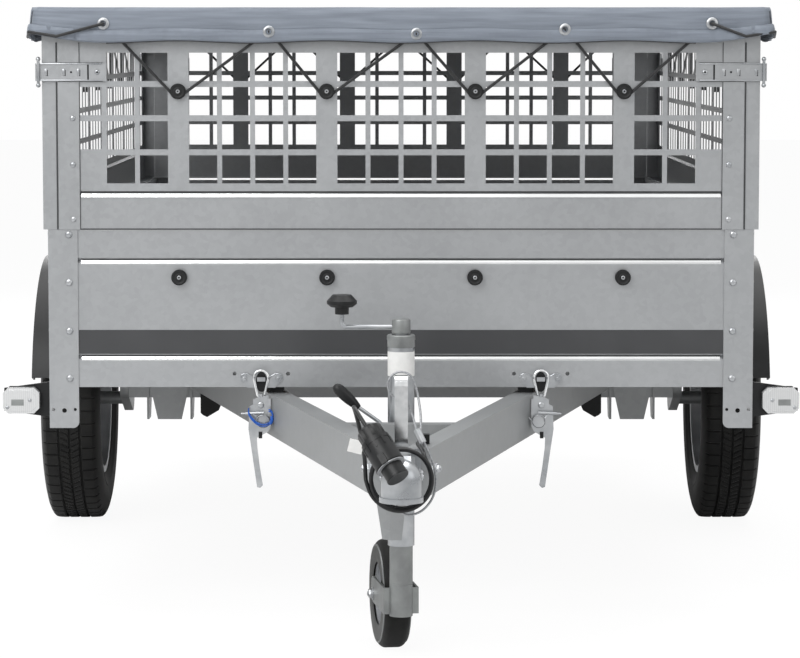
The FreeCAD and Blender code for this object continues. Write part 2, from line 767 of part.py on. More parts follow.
def make_jockey():
    """Outer tube with clamp and crank, sliding leg, swivelling fork and the small wheel."""
    y = front_y - jockey_reach
    tube = rod_z(jockey_tube_radius, jockey_tube_low, jockey_tube_high, 0, y)
    bore = rod_z(jockey_leg_radius + run_gap, jockey_tube_low - overrun,
                 jockey_tube_high - jockey_leg_wall, 0, y)
    save("jockey_tube", [tube.cut(bore)])

    ring_radius = jockey_tube_radius + seat_gap
    low = clamp_top - clamp_height
    face = front_y - cross_reach + cross_depth / 2 + seat_gap
    reach = ring_radius + clamp_wall
    clamp = rod_z(reach, low, clamp_top, 0, y)
    cheek = block(-reach, reach, face, y, low, clamp_top)
    ear = block(-reach - lever_ear, -ring_radius, y - lever_ear / 2, y + lever_ear / 2,
                lever_ear_top - lever_ear, lever_ear_top)
    hollow = rod_z(ring_radius, low - overrun, clamp_top + overrun, 0, y)
    front_limit = block(-half_box, half_box, face, rear_y, low, clamp_top)
    clamp = clamp.fuse([cheek, ear]).common(front_limit).cut(hollow).removeSplitter()
    save("jockey_clamp", [clamp])

    ear_x = -reach - lever_ear / 2
    screw = rod_z(lever_rod_radius * 2, lever_ear_top + seat_gap, lever_ear_top + lever_ear / 2, ear_x, y)
    grip_x, grip_y, grip_z = lever_grip_start
    grip_start = point(grip_x, y + grip_y, grip_z)
    rod_start = point(ear_x, y, lever_ear_top + lever_ear / 2)
    rod_run = grip_start - rod_start
    rod = Part.makeCylinder(lever_rod_radius, rod_run.Length, rod_start, rod_run)
    knee = Part.makeSphere(lever_rod_radius, rod_start)
    end_x, end_y, end_z = lever_grip_end
    grip_run = point(end_x, y + end_y, end_z) - grip_start
    narrow = lever_grip_radius / 2
    taper = Part.makeCone(narrow, lever_grip_radius, grip_run.Length / 2, grip_start, grip_run)
    swell = Part.makeCylinder(lever_grip_radius, grip_run.Length / 2, grip_start + grip_run / 2, grip_run)
    dome = Part.makeSphere(lever_grip_radius, grip_start + grip_run)
    save("clamp_lever", [screw.fuse([knee, rod, taper, swell, dome]).removeSplitter()])

    head_low = jockey_tube_high + seat_gap
    head = rod_z(crank_head_radius, head_low, head_low + crank_head_height, 0, y)
    arm_z = head_low + crank_head_height / 2
    knob_x = -crank_reach
    arm = bent_bar([point(0, y, arm_z), point(knob_x, y, arm_z), point(knob_x, y, arm_z + crank_rise)],
                   crank_rod_radius, crank_bend)[0]
    save("jockey_crank", [head.fuse(arm).removeSplitter()])
    knob_low = arm_z + crank_rise - knob_neck
    cap_low = knob_low + knob_neck
    cap_top = cap_low + knob_height
    profile = [(0, knob_low), (knob_neck_radius, knob_low), (knob_neck_radius, cap_low),
               (knob_waist_radius, cap_low), (knob_radius, cap_low + knob_height / 4),
               (knob_radius, cap_low + knob_height / 2), (knob_top_radius, cap_top), (0, cap_top)]
    knob = turned_z(profile, knob_x, y)
    socket = rod_z(crank_rod_radius + run_gap, knob_low - overrun, arm_z + crank_rise + seat_gap, knob_x, y)
    save("crank_knob", [knob.cut(socket).removeSplitter()])

    bore_radius = jockey_leg_radius - jockey_leg_wall
    leg = rod_z(jockey_leg_radius, jockey_leg_low, jockey_leg_high, 0, y)
    leg = leg.cut(rod_z(bore_radius, jockey_leg_low + pin_seat, jockey_leg_high + overrun, 0, y))
    pin = rod_z(bore_radius - run_gap, jockey_leg_low - pin_depth, jockey_leg_low + overrun, 0, y)
    save("jockey_inner", [leg.fuse(pin).removeSplitter()])

    caster_top = jockey_leg_low - seat_gap
    stem = rod_z(jockey_leg_radius, caster_low, caster_top, 0, y)
    socket = rod_z(bore_radius, jockey_leg_low - pin_depth - seat_gap, jockey_leg_low, 0, y)
    cheek_in = jockey_hub_half + seat_gap
    cheek_out = cheek_in + cheek_sheet
    axle_back_y = y + jockey_trail
    axle_z = jockey_wheel_radius
    cheeks = []
    for side in (-1, 1):
        low_x, high_x = sorted((side * cheek_in, side * cheek_out))
        cheeks.append(block(low_x, high_x, y, axle_back_y, cheek_low, cheek_high))
        cheeks.append(rod_x((cheek_high - cheek_low) / 2, low_x, high_x, axle_back_y,
                            (cheek_low + cheek_high) / 2))
    yoke = block(-cheek_out, cheek_out, y, y + cheek_sheet, cheek_low, cheek_high)
    fork = stem.fuse(cheeks + [yoke]).cut(socket)
    axle = rod_x(jockey_axle_radius, -cheek_out - overrun, cheek_out + overrun, axle_back_y, axle_z)
    fork = fork.fuse(axle).removeSplitter()

    half = jockey_wheel_width / 2
    half_rim = half * jockey_bead_share
    wire = tyre_profile(jockey_wheel_radius, half, jockey_rim_radius, half_rim, jockey_belly_radius,
                        half * jockey_shoulder_share, jockey_shoulder_drop, rim_wall)
    tyre = Part.Face(wire).revolve(ORIGIN, AXIS_X, 360)
    tyre.translate(point(0, axle_back_y, axle_z))
    rim_out = jockey_rim_radius - seat_gap
    bore_radius = jockey_axle_radius + run_gap
    boss = jockey_boss_radius
    section = [(-half_rim, rim_out), (half_rim, rim_out), (half_rim, rim_out - rim_wall * 2),
               (rim_wall, rim_out - rim_wall * 2), (rim_wall, boss), (jockey_hub_half, boss),
               (jockey_hub_half, bore_radius), (-jockey_hub_half, bore_radius),
               (-jockey_hub_half, boss), (-rim_wall, boss), (-rim_wall, rim_out - rim_wall * 2),
               (-half_rim, rim_out - rim_wall * 2)]
    hub = turned(section, point(0, axle_back_y, axle_z))
    for name, solid in (("jockey_fork", fork), ("jockey_tyre", tyre), ("jockey_hub", hub)):
        solid.rotate(point(0, y, 0), AXIS_Z, jockey_yaw)
        save(name, [solid])

    guard_top = beam_top - beam_height - seat_gap
    guard_low = jockey_tube_low + guard_raise
    loops = []
    for plan, z in ((guard_foot_plan, guard_low), (guard_top_plan, guard_top)):
        front = [point(dx, y + dy - guard_sheet_y, z) for dx, dy in plan]
        back = [point(dx, y + dy, z) for dx, dy in reversed(plan)]
        loops.append(Part.makePolygon(front + back + front[:1]))
    save("nose_guard", [Part.makeLoft(loops, True, True)])


def make_coupling():
    """Ball coupling: domed head with its socket, neck between the beams, and the handle."""
    y = front_y - ball_reach
    head = rod_z(head_radius, head_low, ball_z + lip_height, 0, y)
    dome = Part.makeSphere(head_radius, point(0, y, ball_z + lip_height))
    lip = rod_z(lip_radius, head_low, head_low + lip_height, 0, y)
    neck_low = beam_top - beam_height + seat_gap
    nose = front_y - beam_nose
    neck = block(-neck_width / 2, neck_width / 2, y, nose - seat_gap, ball_z - neck_height / 2,
                 ball_z + neck_height / 2)
    foot = block(-head_radius, head_radius, nose - lip_height - seat_gap, nose - seat_gap,
                 neck_low, beam_top)
    top = ball_z + neck_height / 2
    front_run, back_run, end_run = hump_run
    hump = prism_x([(y, top - lip_height), (y, top), (y + front_run, ball_z + hump_rise),
                    (y + back_run, ball_z + hump_rise), (y + end_run, top), (y + end_run, top - lip_height)],
                   -hump_half, hump_half)
    body = head.fuse([dome, lip, neck, foot, hump])
    floor_cut = block(-half_box, half_box, y - half_box, y + half_box, 0, head_low)
    body = body.cut(floor_cut)
    body = body.cut(Part.makeSphere(ball_radius, point(0, y, ball_z)))
    body = body.cut(rod_z(ball_radius, head_low - overrun, ball_z, 0, y)).removeSplitter()
    save("coupling", [body])
    low = ball_z + neck_height / 2 + seat_gap
    back = nose - lip_height - seat_gap * 2
    front = back - handle_depth
    outer = block(-handle_width / 2, handle_width / 2, front, back, low, low + handle_rise)
    inner = block(-handle_width, handle_width, front + handle_bar, back - handle_bar,
                  low + handle_bar, low + handle_rise - handle_bar)
    top_edges = [e for e in outer.Edges if abs(e.BoundBox.ZMin - low - handle_rise) < sheet
                 and e.BoundBox.XLength > sheet]
    outer = outer.makeFillet(handle_depth / 3, top_edges)
    top_edges = [e for e in inner.Edges if e.BoundBox.ZMin > low + handle_rise - handle_depth
                 and e.BoundBox.XLength > sheet]
    inner = inner.makeFillet(handle_depth / 3 - handle_bar, top_edges)
    save("coupling_handle", [outer.cut(inner)])


def make_lead():
    """Lead from its gland, wound on the coupling's neck, with its plug, and the safety wire."""
    y = front_y - ball_reach

    def route(places):
        return [point(x, y + back, z) for x, back, z in places]

    inward = cord_tube("lead_in", route(lead_in), lead_radius)
    outward = cord_tube("lead_out", route(lead_out), lead_radius)
    save("cable", [inward, outward])
    middle_y = y + coil_back
    ring = rod_y(coil_outer, middle_y - coil_half, middle_y + coil_half, 0, ball_z)
    ring = ring.cut(rod_y(coil_inner, middle_y - coil_half - overrun, middle_y + coil_half + overrun, 0,
                          ball_z))
    save("cable_coil", [ring])
    gland_x, gland_back, gland_z = lead_in[0]
    gland = block(gland_x - gland_half, gland_x + gland_half, y + gland_back, y + gland_back + gland_depth,
                  beam_top + seat_gap, beam_top + seat_gap + gland_height)
    save("cable_gland", [gland])

    tail = route(lead_out)[-1]
    mouth_x, mouth_back, mouth_z = plug_mouth
    run = point(mouth_x, y + mouth_back, mouth_z) - tail
    profile = [(0, plug_profile[0][1])] + plug_profile + [(0, plug_profile[-1][1])]
    plug = turned_z(profile, 0, 0)
    plug.Placement = FreeCAD.Placement(tail + run * (run_gap / run.Length), FreeCAD.Rotation(AXIS_Z, run))
    save("plug", [plug])

    save("safety_wire", [cord_tube("safety_wire", route(wire_route), wire_radius)])
    low, high = route([ferrule_low, ferrule_high])
    bore = bent_bar(route(wire_route), wire_radius + seat_gap)[0]
    ferrule = Part.makeCylinder(ferrule_radius, (high - low).Length, low, high - low).cut(bore)
    save("wire_ferrule", [ferrule])


def make_cover():
    """Flat cover with its skirt, and the bars that carry it."""
    low = mesh_top + seat_gap - cover_drop
    top = mesh_top + seat_gap + cover_sheet
    half = half_box + cover_side
    low_y = front_y - cover_overhang
    high_y = rear_y + cover_overhang
    outer = block(-half, half, low_y, high_y, low, top)
    upright = [e for e in outer.Edges if e.BoundBox.ZLength > cover_drop / 2]
    outer = outer.makeFillet(cover_corner, upright)
    inner = block(-half + cover_sheet, half - cover_sheet, low_y + cover_sheet, high_y - cover_sheet,
                  low - overrun, top - cover_sheet)
    upright = [e for e in inner.Edges if e.BoundBox.ZLength > cover_drop / 2]
    inner = inner.makeFillet(cover_corner - cover_sheet, upright)
    save("cover", [outer.cut(inner)])
    bars = []
    reach = mesh_out - sheet - seat_gap
    z = mesh_top - sheet - seat_gap - bar_radius
    for index in range(bar_count):
        y = front_y + box_length * (index + 1) / (bar_count + 1)
        bars.append(rod_x(bar_radius, -reach, reach, y, z))
    save("cover_bars", bars)


def make_tailgate():
    """Tailgate pressed like the walls, with two hinges at its foot and two latches."""
    half = half_box - post_flange - gate_gap
    bottom = bed_bottom + gate_bottom_gap
    grooves = [bed_bottom + lower_groove_rise, wall_top - upper_groove_drop]
    outline = sheet_outline(bottom, wall_top - gate_gap, grooves, wall_fold, wall_lip, wall_fold)
    gate = prism_x([(rear_y - d, z) for d, z in outline], -half, half)
    save("tailgate_panel", [gate])

    axis_y = rear_y + hinge_out
    axis_z = bottom + hinge_rise
    third = hinge_length / 3
    fixed = []
    moving = []
    sill_low = bed_bottom + sheet - sill_drop
    for x in (-hinge_x, hinge_x):
        low_x = x - hinge_length / 2
        ends = []
        for start in (low_x, low_x + third * 2):
            knuckle = rod_x(knuckle_radius, start, start + third, axis_y, axis_z)
            web = block(start, start + third, rear_y + seat_gap, rear_y + seat_gap + leaf_sheet,
                        sill_low, axis_z)
            ends += [knuckle, web]
        leaf = block(low_x, low_x + hinge_length, rear_y + seat_gap, rear_y + seat_gap + leaf_sheet,
                     sill_low, bed_bottom)
        pin = rod_x(hinge_pin_radius, low_x, low_x + hinge_length, axis_y, axis_z)
        fixed.append(leaf.fuse(ends + [pin]).removeSplitter())
        start = low_x + third + seat_gap
        end = low_x + third * 2 - seat_gap
        knuckle = rod_x(knuckle_radius, start, end, axis_y, axis_z)
        web = block(start, end, rear_y + seat_gap, rear_y + seat_gap + leaf_sheet, axis_z,
                    axis_z + leaf_height)
        plate = block(low_x, low_x + hinge_length, rear_y + seat_gap, rear_y + seat_gap + leaf_sheet,
                      axis_z + hinge_out + overrun, axis_z + leaf_height)
        strap = knuckle.fuse([web, plate])
        strap = strap.cut(rod_x(hinge_pin_radius + run_gap, low_x, low_x + hinge_length, axis_y, axis_z))
        moving.append(strap.removeSplitter())
    save("tail_hinges", fixed)
    save("tailgate_leaves", moving)

    latch_z = wall_top - gate_gap - latch_drop / 2
    latch = block(half - latch_height * 2, half - latch_height, rear_y + seat_gap,
                  rear_y + seat_gap + leaf_sheet * 3, latch_z - latch_height, latch_z + latch_height)
    save("tailgate_latches", both_sides(latch))


def make_lamps():
    """Front position lamps on their arms, and the tail lamps."""
    half_height = lamp_height / 2
    low_x = half_box + seat_gap
    arm = prism_y([(low_x, lamp_middle_z + arm_root_half), (lamp_out, lamp_middle_z + arm_tip_half),
                   (lamp_out, lamp_middle_z - arm_tip_half), (low_x, lamp_middle_z - arm_root_half)],
                  front_y + post_sheet, front_y + post_sheet + lamp_arm_sheet)
    save("lamp_arms", both_sides(arm))
    low = lamp_out - lamp_width
    cut = lamp_chamfer
    outline = [(low + cut, lamp_middle_z - half_height), (lamp_out - cut, lamp_middle_z - half_height),
               (lamp_out, lamp_middle_z - half_height + cut), (lamp_out, lamp_middle_z + half_height - cut),
               (lamp_out - cut, lamp_middle_z + half_height), (low + cut, lamp_middle_z + half_height),
               (low, lamp_middle_z + half_height - cut), (low, lamp_middle_z - half_height + cut)]
    lamp = prism_y(outline, front_y + post_sheet - seat_gap - lamp_depth, front_y + post_sheet - seat_gap)
    save("marker_lamps", both_sides(lamp))
    top = bed_bottom + sheet - sill_gap
    rear = block(rear_lamp_x - rear_lamp_width / 2 + hinge_length, rear_lamp_x + rear_lamp_width / 2,
                 rear_y + seat_gap, rear_y + seat_gap + rear_lamp_depth, top - rear_lamp_height, top)
    save("rear_lamps", both_sides(rear))


def make_buttons():
    """Waisted rubber buttons that hold the cover's cord, round the mesh and on the front wall."""
    button = rod_z(button_radius, -seat_gap - button_height / 3, -seat_gap, 0, 0)
    waist = rod_z(button_waist, -seat_gap - button_height, -seat_gap, 0, 0)
    head = rod_z(button_radius, -seat_gap - button_height, -seat_gap - button_height * 2 / 3, 0, 0)
    button = button.fuse([waist, head]).removeSplitter()
    upper_z = mesh_top - mesh_button_drop - row_pitch / 2
    lower_z = wall_top - wall_button_drop
    middle_y = (front_y + rear_y) / 2
    places = []
    for index in range(group_holes):
        x = (index - (group_holes - 1) / 2) * group_pitch
        places.append((point(x, front_y, upper_z), AXIS_Y))
        places.append((point(x, front_y + post_sheet + seat_gap, lower_z), AXIS_Y))
        places.append((point(x, rear_y, upper_z), point(0, -1, 0)))
    side_count = int(box_length / group_pitch) - 1
    for index in range(side_count):
        y = middle_y + (index - (side_count - 1) / 2) * group_pitch
        places.append((point(mesh_out, y, upper_z), point(-1, 0, 0)))
        places.append((point(-mesh_out, y, upper_z), AXIS_X))
    buttons = []
    for place, inward in places:
        solid = button.copy()
        solid.Placement = FreeCAD.Placement(place, FreeCAD.Rotation(AXIS_Z, inward))
        buttons.append(solid)
    save("cord_buttons", buttons)


def make_mesh_latches():
    """Folded corner latches that tie the mesh sides together."""
    z = mesh_top - latch_drop
    out = mesh_out + latch_hook
    face = front_y - sheet - seat_gap
    plate = block(out - latch_length - latch_hook, out, face - latch_sheet, face, z - latch_height / 2,
                  z + latch_height / 2)
    hook = block(out - latch_sheet, out, face - latch_sheet, face + latch_height, z - latch_height / 2,
                 z + latch_height / 2)
    front = both_sides(plate.fuse(hook).removeSplitter())
    rear = [solid.mirror(point(0, (front_y + rear_y) / 2, 0), AXIS_Y) for solid in front]
    save("mesh_latches", front + rear)


def make_releases():
    """Tip releases: catch plates on the box, and levers with rings on the drawbar."""
    face = front_y + post_sheet
    plate = prism_y([(catch_x + x, catch_middle_z + z) for x, z in catch_outline], face - catch_sheet, face)
    tongue = block(catch_x - tongue_width / 2, catch_x + tongue_width / 2,
                   face - catch_sheet - tongue_reach, face, catch_middle_z - tongue_width / 4,
                   catch_middle_z + tongue_width / 4)
    save("catch_plates", both_sides(plate.fuse(tongue).removeSplitter()))

    ring_y = face - catch_sheet - tongue_reach - ring_gap - ring_wire
    drop = (ring_top_radius - ring_foot_radius) / (ring_top_z - ring_foot_z)
    reach = math.sqrt(1 - drop * drop)
    ends = []
    arcs = []
    for radius, z, way in ((ring_top_radius, ring_top_z, 1), (ring_foot_radius, ring_foot_z, -1)):
        side = [point(catch_x + sign * radius * reach, ring_y, z - radius * drop) for sign in (-1, 1)]
        arcs.append(Part.Arc(side[0], point(catch_x, ring_y, z + way * radius), side[1]).toShape())
        ends.append(side)
    for upper, lower in zip(ends[0], ends[1]):
        arcs.append(Part.makeLine(upper, lower))
    path = Part.Wire(Part.__sortEdges__(arcs))
    start = arcs[2].valueAt(arcs[2].FirstParameter)
    circle = Part.Wire(Part.makeCircle(ring_wire, start, ends[1][0] - ends[0][0]))
    ring = path.makePipeShell([circle], True, True)
    save("release_rings", both_sides(ring))

    low_y = ring_y - ring_wire - seat_gap - lever_sheet
    high_y = low_y + lever_sheet
    lever = prism_y([(catch_x + x, z) for x, z in lever_outline], low_y + sheet, high_y)
    bracket = prism_y([(catch_x + x, z) for x, z in bracket_outline], low_y, low_y + sheet)
    boss = rod_y(lever_boss_radius, low_y - sheet, high_y, catch_x + lever_boss_offset, lever_boss_z)
    hook_z = ring_foot_z - ring_foot_radius + ring_wire + seat_gap + hook_radius
    hook = rod_y(hook_radius, low_y, ring_y + ring_wire, catch_x, hook_z)
    beam_x = beam_inner_x(ring_y) + beam_half * 2 + seat_gap
    arm = block(beam_x, catch_x + catch_side, low_y, high_y, arm_low_z, arm_high_z)
    save("release_levers", both_sides(lever.fuse([bracket, boss, hook, arm]).removeSplitter()))


def main():
    os.makedirs("parts", exist_ok=True)
    make_posts()
    make_walls()
    make_meshes()
    make_floor()
    make_drawbar()
    make_axle()
    make_rubbers()
    make_wheels()
    make_mudguards()
    make_jockey()
    make_coupling()
    make_lead()
    make_cover()
    make_tailgate()
    make_lamps()
    make_buttons()
    make_mesh_latches()
    make_releases()


main()
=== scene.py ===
"""Single axle box trailer with mesh sides, flat cover, jockey wheel and ball coupling."""

import json
import logging
import math
from collections.abc import Sequence
from dataclasses import dataclass
from enum import Enum

import bmesh
import bpy
from mathutils import Matrix, Vector

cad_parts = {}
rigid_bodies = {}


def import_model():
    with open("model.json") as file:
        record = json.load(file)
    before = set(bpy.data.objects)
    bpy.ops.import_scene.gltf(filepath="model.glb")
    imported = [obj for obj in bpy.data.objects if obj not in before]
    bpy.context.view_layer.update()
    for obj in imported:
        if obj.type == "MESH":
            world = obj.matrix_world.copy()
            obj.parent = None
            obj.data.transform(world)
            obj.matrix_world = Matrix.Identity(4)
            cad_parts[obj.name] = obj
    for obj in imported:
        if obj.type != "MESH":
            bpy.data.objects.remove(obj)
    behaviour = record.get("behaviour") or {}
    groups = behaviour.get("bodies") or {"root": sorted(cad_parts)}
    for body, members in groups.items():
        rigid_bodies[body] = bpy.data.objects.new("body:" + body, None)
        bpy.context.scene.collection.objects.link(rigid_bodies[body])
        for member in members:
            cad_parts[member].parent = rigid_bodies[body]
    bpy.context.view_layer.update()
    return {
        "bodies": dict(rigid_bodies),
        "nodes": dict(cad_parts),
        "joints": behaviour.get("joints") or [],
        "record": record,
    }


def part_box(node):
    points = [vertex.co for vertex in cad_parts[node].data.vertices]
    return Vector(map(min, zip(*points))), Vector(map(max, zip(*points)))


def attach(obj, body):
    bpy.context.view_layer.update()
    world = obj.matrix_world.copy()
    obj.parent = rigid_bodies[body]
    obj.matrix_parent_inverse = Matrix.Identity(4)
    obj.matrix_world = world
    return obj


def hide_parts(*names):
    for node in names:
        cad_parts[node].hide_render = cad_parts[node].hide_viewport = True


LOG = logging.getLogger("trailer")
MM = 0.001
TURN = 2 * math.pi
SIDES = (-1, 1)
FRONT = Vector((0.0, -1.0, 0.0))
Pair = tuple[float, float]
Outline = Sequence[Pair]
Place = tuple[float, float, float]
Route = tuple[Place, ...]
Form = bmesh.types.BMesh
Thing = bpy.types.Object
Tree = bpy.types.NodeTree
Node = bpy.types.Node
Socket = bpy.types.NodeSocket


class Body(str, Enum):
    """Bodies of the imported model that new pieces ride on."""

    CHASSIS = "chassis"
    BED = "bed"
    TAILGATE = "tailgate"
    CASTER = "jockey_caster"
    ROLLER = "jockey_wheel"
    LEFT_WHEEL = "wheel_left"
    RIGHT_WHEEL = "wheel_right"


# Finishes


def linear(code: str) -> tuple[float, float, float, float]:
    """Turns an sRGB hex colour into the linear colour that a shader takes.

    Args:
        code: Six hex digits, with or without a leading hash.

    Returns:
        Red, green, blue and an alpha of one.
    """
    digits = code.lstrip("#")
    parts = [int(digits[i : i + 2], 16) / 255 for i in (0, 2, 4)]
    red, green, blue = (v / 12.92 if v <= 0.04045 else ((v + 0.055) / 1.055) ** 2.4 for v in parts)
    return (red, green, blue, 1.0)


def add_node(
    tree: Tree,
    kind: str,
    settings: dict[str | int, object] | None = None,
    links: dict[str | int, Socket] | None = None,
) -> Node:
    """Adds one node with its settings and links.

    Args:
        tree: Tree that takes the node.
        kind: Blender's name of the node type.
        settings: Input names or numbers with constants, and attributes with values.
        links: Input names or numbers with the sockets that feed them.

    Returns:
        The new node.
    """
    node = tree.nodes.new(kind)
    for key, value in (settings or {}).items():
        if isinstance(key, int) or key in node.inputs:
            node.inputs[key].default_value = value
        else:
            setattr(node, key, value)
    for key, socket in (links or {}).items():
        tree.links.new(socket, node.inputs[key])
    return node


@dataclass(frozen=True)
class Finish:
    """Plain solid finish: two tones in soft patches, with a fine grain in its relief."""

    name: str
    slot: str
    light: str
    dark: str
    metallic: float = 0.0
    rough_low: float = 0.4
    rough_high: float = 0.6
    patch_mm: float = 60.0
    grain_mm: float = 2.0
    grain_depth_mm: float = 0.05
    sheen: float = 0.0
    gloss: float = 0.5
    wave_pitch: float = 0.314

    def start(self) -> tuple[bpy.types.Material, Tree, Node]:
        """Makes the empty material with its shader and output.

        Returns:
            Material, tree and Principled shader.
        """
        material = bpy.data.materials.new(self.name)
        material.use_nodes = True
        tree = material.node_tree
        tree.nodes.clear()
        settings = {"Metallic": self.metallic, "Specular IOR Level": self.gloss, "Sheen Weight": self.sheen}
        shader = add_node(tree, "ShaderNodeBsdfPrincipled", settings)
        add_node(tree, "ShaderNodeOutputMaterial", None, {"Surface": shader.outputs[0]})
        return material, tree, shader

    def place(self, tree: Tree) -> Socket:
        """Gives the coordinates that the patterns follow, in metres."""
        return add_node(tree, "ShaderNodeTexCoord").outputs["Object"]

    def noise(self, tree: Tree, size_mm: float, detail: float) -> Socket:
        """Adds a noise whose features are about size_mm across.

        Args:
            tree: Tree that takes the node.
            size_mm: Size of one soft patch.
            detail: Octaves of finer noise in it.

        Returns:
            The noise value.
        """
        settings = {"Scale": 1 / (size_mm * MM), "Detail": detail}
        return add_node(tree, "ShaderNodeTexNoise", settings, {"Vector": self.place(tree)}).outputs[0]

    def bands(self, tree: Tree, axis: str, size_mm: float, place: Socket) -> Socket:
        """Adds soft bands across an axis.

        Args:
            tree: Tree that takes the node.
            axis: X or Y.
            size_mm: Distance from band to band.
            place: Coordinates that the bands follow.

        Returns:
            The bands' value.
        """
        settings = {"wave_type": "BANDS", "bands_direction": axis, "Scale": self.wave_pitch / (size_mm * MM)}
        return add_node(tree, "ShaderNodeTexWave", settings, {"Vector": place}).outputs["Fac"]

    def blend(self, tree: Tree, share: float, first: Socket, second: Socket) -> Socket:
        """Mixes two values, the second by its share."""
        settings = {"data_type": "FLOAT", 0: share}
        return add_node(tree, "ShaderNodeMix", settings, {2: first, 3: second}).outputs[0]

    def spread(self, tree: Tree, value: Socket, low: float, high: float) -> Socket:
        """Stretches a value between two limits over the whole range."""
        settings = {"From Min": low, "From Max": high}
        return add_node(tree, "ShaderNodeMapRange", settings, {"Value": value}).outputs[0]

    def tint(self, tree: Tree, shader: Node, factor: Socket) -> None:
        """Mixes the two tones by a factor into the shader's colour."""
        settings = {"data_type": "RGBA", 6: linear(self.dark), 7: linear(self.light)}
        mix = add_node(tree, "ShaderNodeMix", settings, {0: factor})
        tree.links.new(mix.outputs[2], shader.inputs["Base Color"])

    def roughen(self, tree: Tree, shader: Node, value: Socket) -> None:
        """Lets the roughness follow a value between its two limits."""
        settings = {"To Min": self.rough_low, "To Max": self.rough_high}
        rough = add_node(tree, "ShaderNodeMapRange", settings, {"Value": value})
        tree.links.new(rough.outputs[0], shader.inputs["Roughness"])

    def emboss(self, tree: Tree, shader: Node, height: Socket) -> None:
        """Bumps the surface by a height of the finish's depth."""
        settings = {"Strength": 1.0, "Distance": self.grain_depth_mm * MM}
        bump = add_node(tree, "ShaderNodeBump", settings, {"Height": height})
        tree.links.new(bump.outputs[0], shader.inputs["Normal"])

    def build(self) -> bpy.types.Material:
        """Makes the material.

        Returns:
            The finished material.
        """
        material, tree, shader = self.start()
        patches = self.noise(tree, self.patch_mm, 3.0)
        self.tint(tree, shader, self.spread(tree, patches, 0.35, 0.65))
        self.roughen(tree, shader, patches)
        self.emboss(tree, shader, self.noise(tree, self.grain_mm, 2.0))
        return material


@dataclass(frozen=True)
class DippedZinc(Finish):
    """Hot dip galvanised sheet: soft feathered crystals a few millimetres to a centimetre wide."""

    crystal_mm: float = 9.0
    cloud_share: float = 0.72

    def build(self) -> bpy.types.Material:
        """Makes the material.

        Returns:
            The finished material.
        """
        material, tree, shader = self.start()
        settings = {"Scale": 1 / (self.crystal_mm * MM)}
        cells = add_node(tree, "ShaderNodeTexVoronoi", settings, {"Vector": self.place(tree)})
        shade = add_node(tree, "ShaderNodeSeparateColor", None, {0: cells.outputs["Color"]})
        clouds = self.noise(tree, self.patch_mm, 4.0)
        pattern = self.blend(tree, self.cloud_share, shade.outputs[0], clouds)
        self.tint(tree, shader, pattern)
        self.roughen(tree, shader, pattern)
        self.emboss(tree, shader, self.noise(tree, self.grain_mm, 2.0))
        return material


@dataclass(frozen=True)
class WovenCover(Finish):
    """Coated polyester of a flat cover: a plain weave under a dull coat, with pulled streaks."""

    thread_mm: float = 1.6
    streak_mm: float = 9.0
    streak_length_mm: float = 140.0
    weave_share: float = 0.25

    def build(self) -> bpy.types.Material:
        """Makes the material on the cloth's own flat map.

        Returns:
            The finished material.
        """
        material, tree, shader = self.start()
        flat = add_node(tree, "ShaderNodeUVMap", {"uv_map": "flat"}).outputs[0]
        warp = self.bands(tree, "X", self.thread_mm, flat)
        weft = self.bands(tree, "Y", self.thread_mm, flat)
        weave = add_node(tree, "ShaderNodeMath", {"operation": "MULTIPLY"}, {0: warp, 1: weft})
        pull = (1 / (self.streak_length_mm * MM), 1 / (self.streak_mm * MM), 1.0)
        stretch = add_node(tree, "ShaderNodeMapping", {"Scale": pull}, {"Vector": flat})
        settings = {"Scale": 1.0, "Detail": 5.0}
        streaks = add_node(tree, "ShaderNodeTexNoise", settings, {"Vector": stretch.outputs[0]}).outputs[0]
        self.tint(tree, shader, self.spread(tree, streaks, 0.3, 0.7))
        shader.inputs["Roughness"].default_value = self.rough_high
        self.emboss(tree, shader, self.blend(tree, self.weave_share, streaks, weave.outputs[0]))
        return material


@dataclass(frozen=True)
class LampLens(Finish):
    """Moulded acrylic lens: clear or dyed, ribbed inside so that it looks milky."""

    rib_mm: float = 4.0
    transmission: float = 0.35
    coat: float = 0.5

    def build(self) -> bpy.types.Material:
        """Makes the material.

        Returns:
            The finished material.
        """
        material, tree, shader = self.start()
        ribs = self.bands(tree, "X", self.rib_mm, self.place(tree))
        self.tint(tree, shader, ribs)
        shader.inputs["Roughness"].default_value = self.rough_low
        shader.inputs["Transmission Weight"].default_value = self.transmission
        shader.inputs["Coat Weight"].default_value = self.coat
        self.emboss(tree, shader, ribs)
        return material


@dataclass(frozen=True)
class FilmPly(Finish):
    """Film faced birch plywood of the floor: a hard resin film with a pressed wire pattern."""

    mesh_mm: float = 6.0

    def build(self) -> bpy.types.Material:
        """Makes the material.

        Returns:
            The finished material.
        """
        material, tree, shader = self.start()
        settings = {"Scale": 1 / (self.mesh_mm * MM), "Randomness": 0.0, "feature": "DISTANCE_TO_EDGE"}
        cells = add_node(tree, "ShaderNodeTexVoronoi", settings, {"Vector": self.place(tree)})
        self.tint(tree, shader, self.noise(tree, self.patch_mm, 3.0))
        shader.inputs["Roughness"].default_value = self.rough_high
        self.emboss(tree, shader, cells.outputs["Distance"])
        return material


# Hot dip galvanised steel sheet: pale grey, soft sheen, faint crystals.
GALVANISED = DippedZinc(
    "galvanised_steel_hot_dipped", "galvanised", light="#abadaf", dark="#9a9c9e", metallic=0.62,
    rough_low=0.3, rough_high=0.42, patch_mm=180.0, grain_mm=1.2, grain_depth_mm=0.012,
)
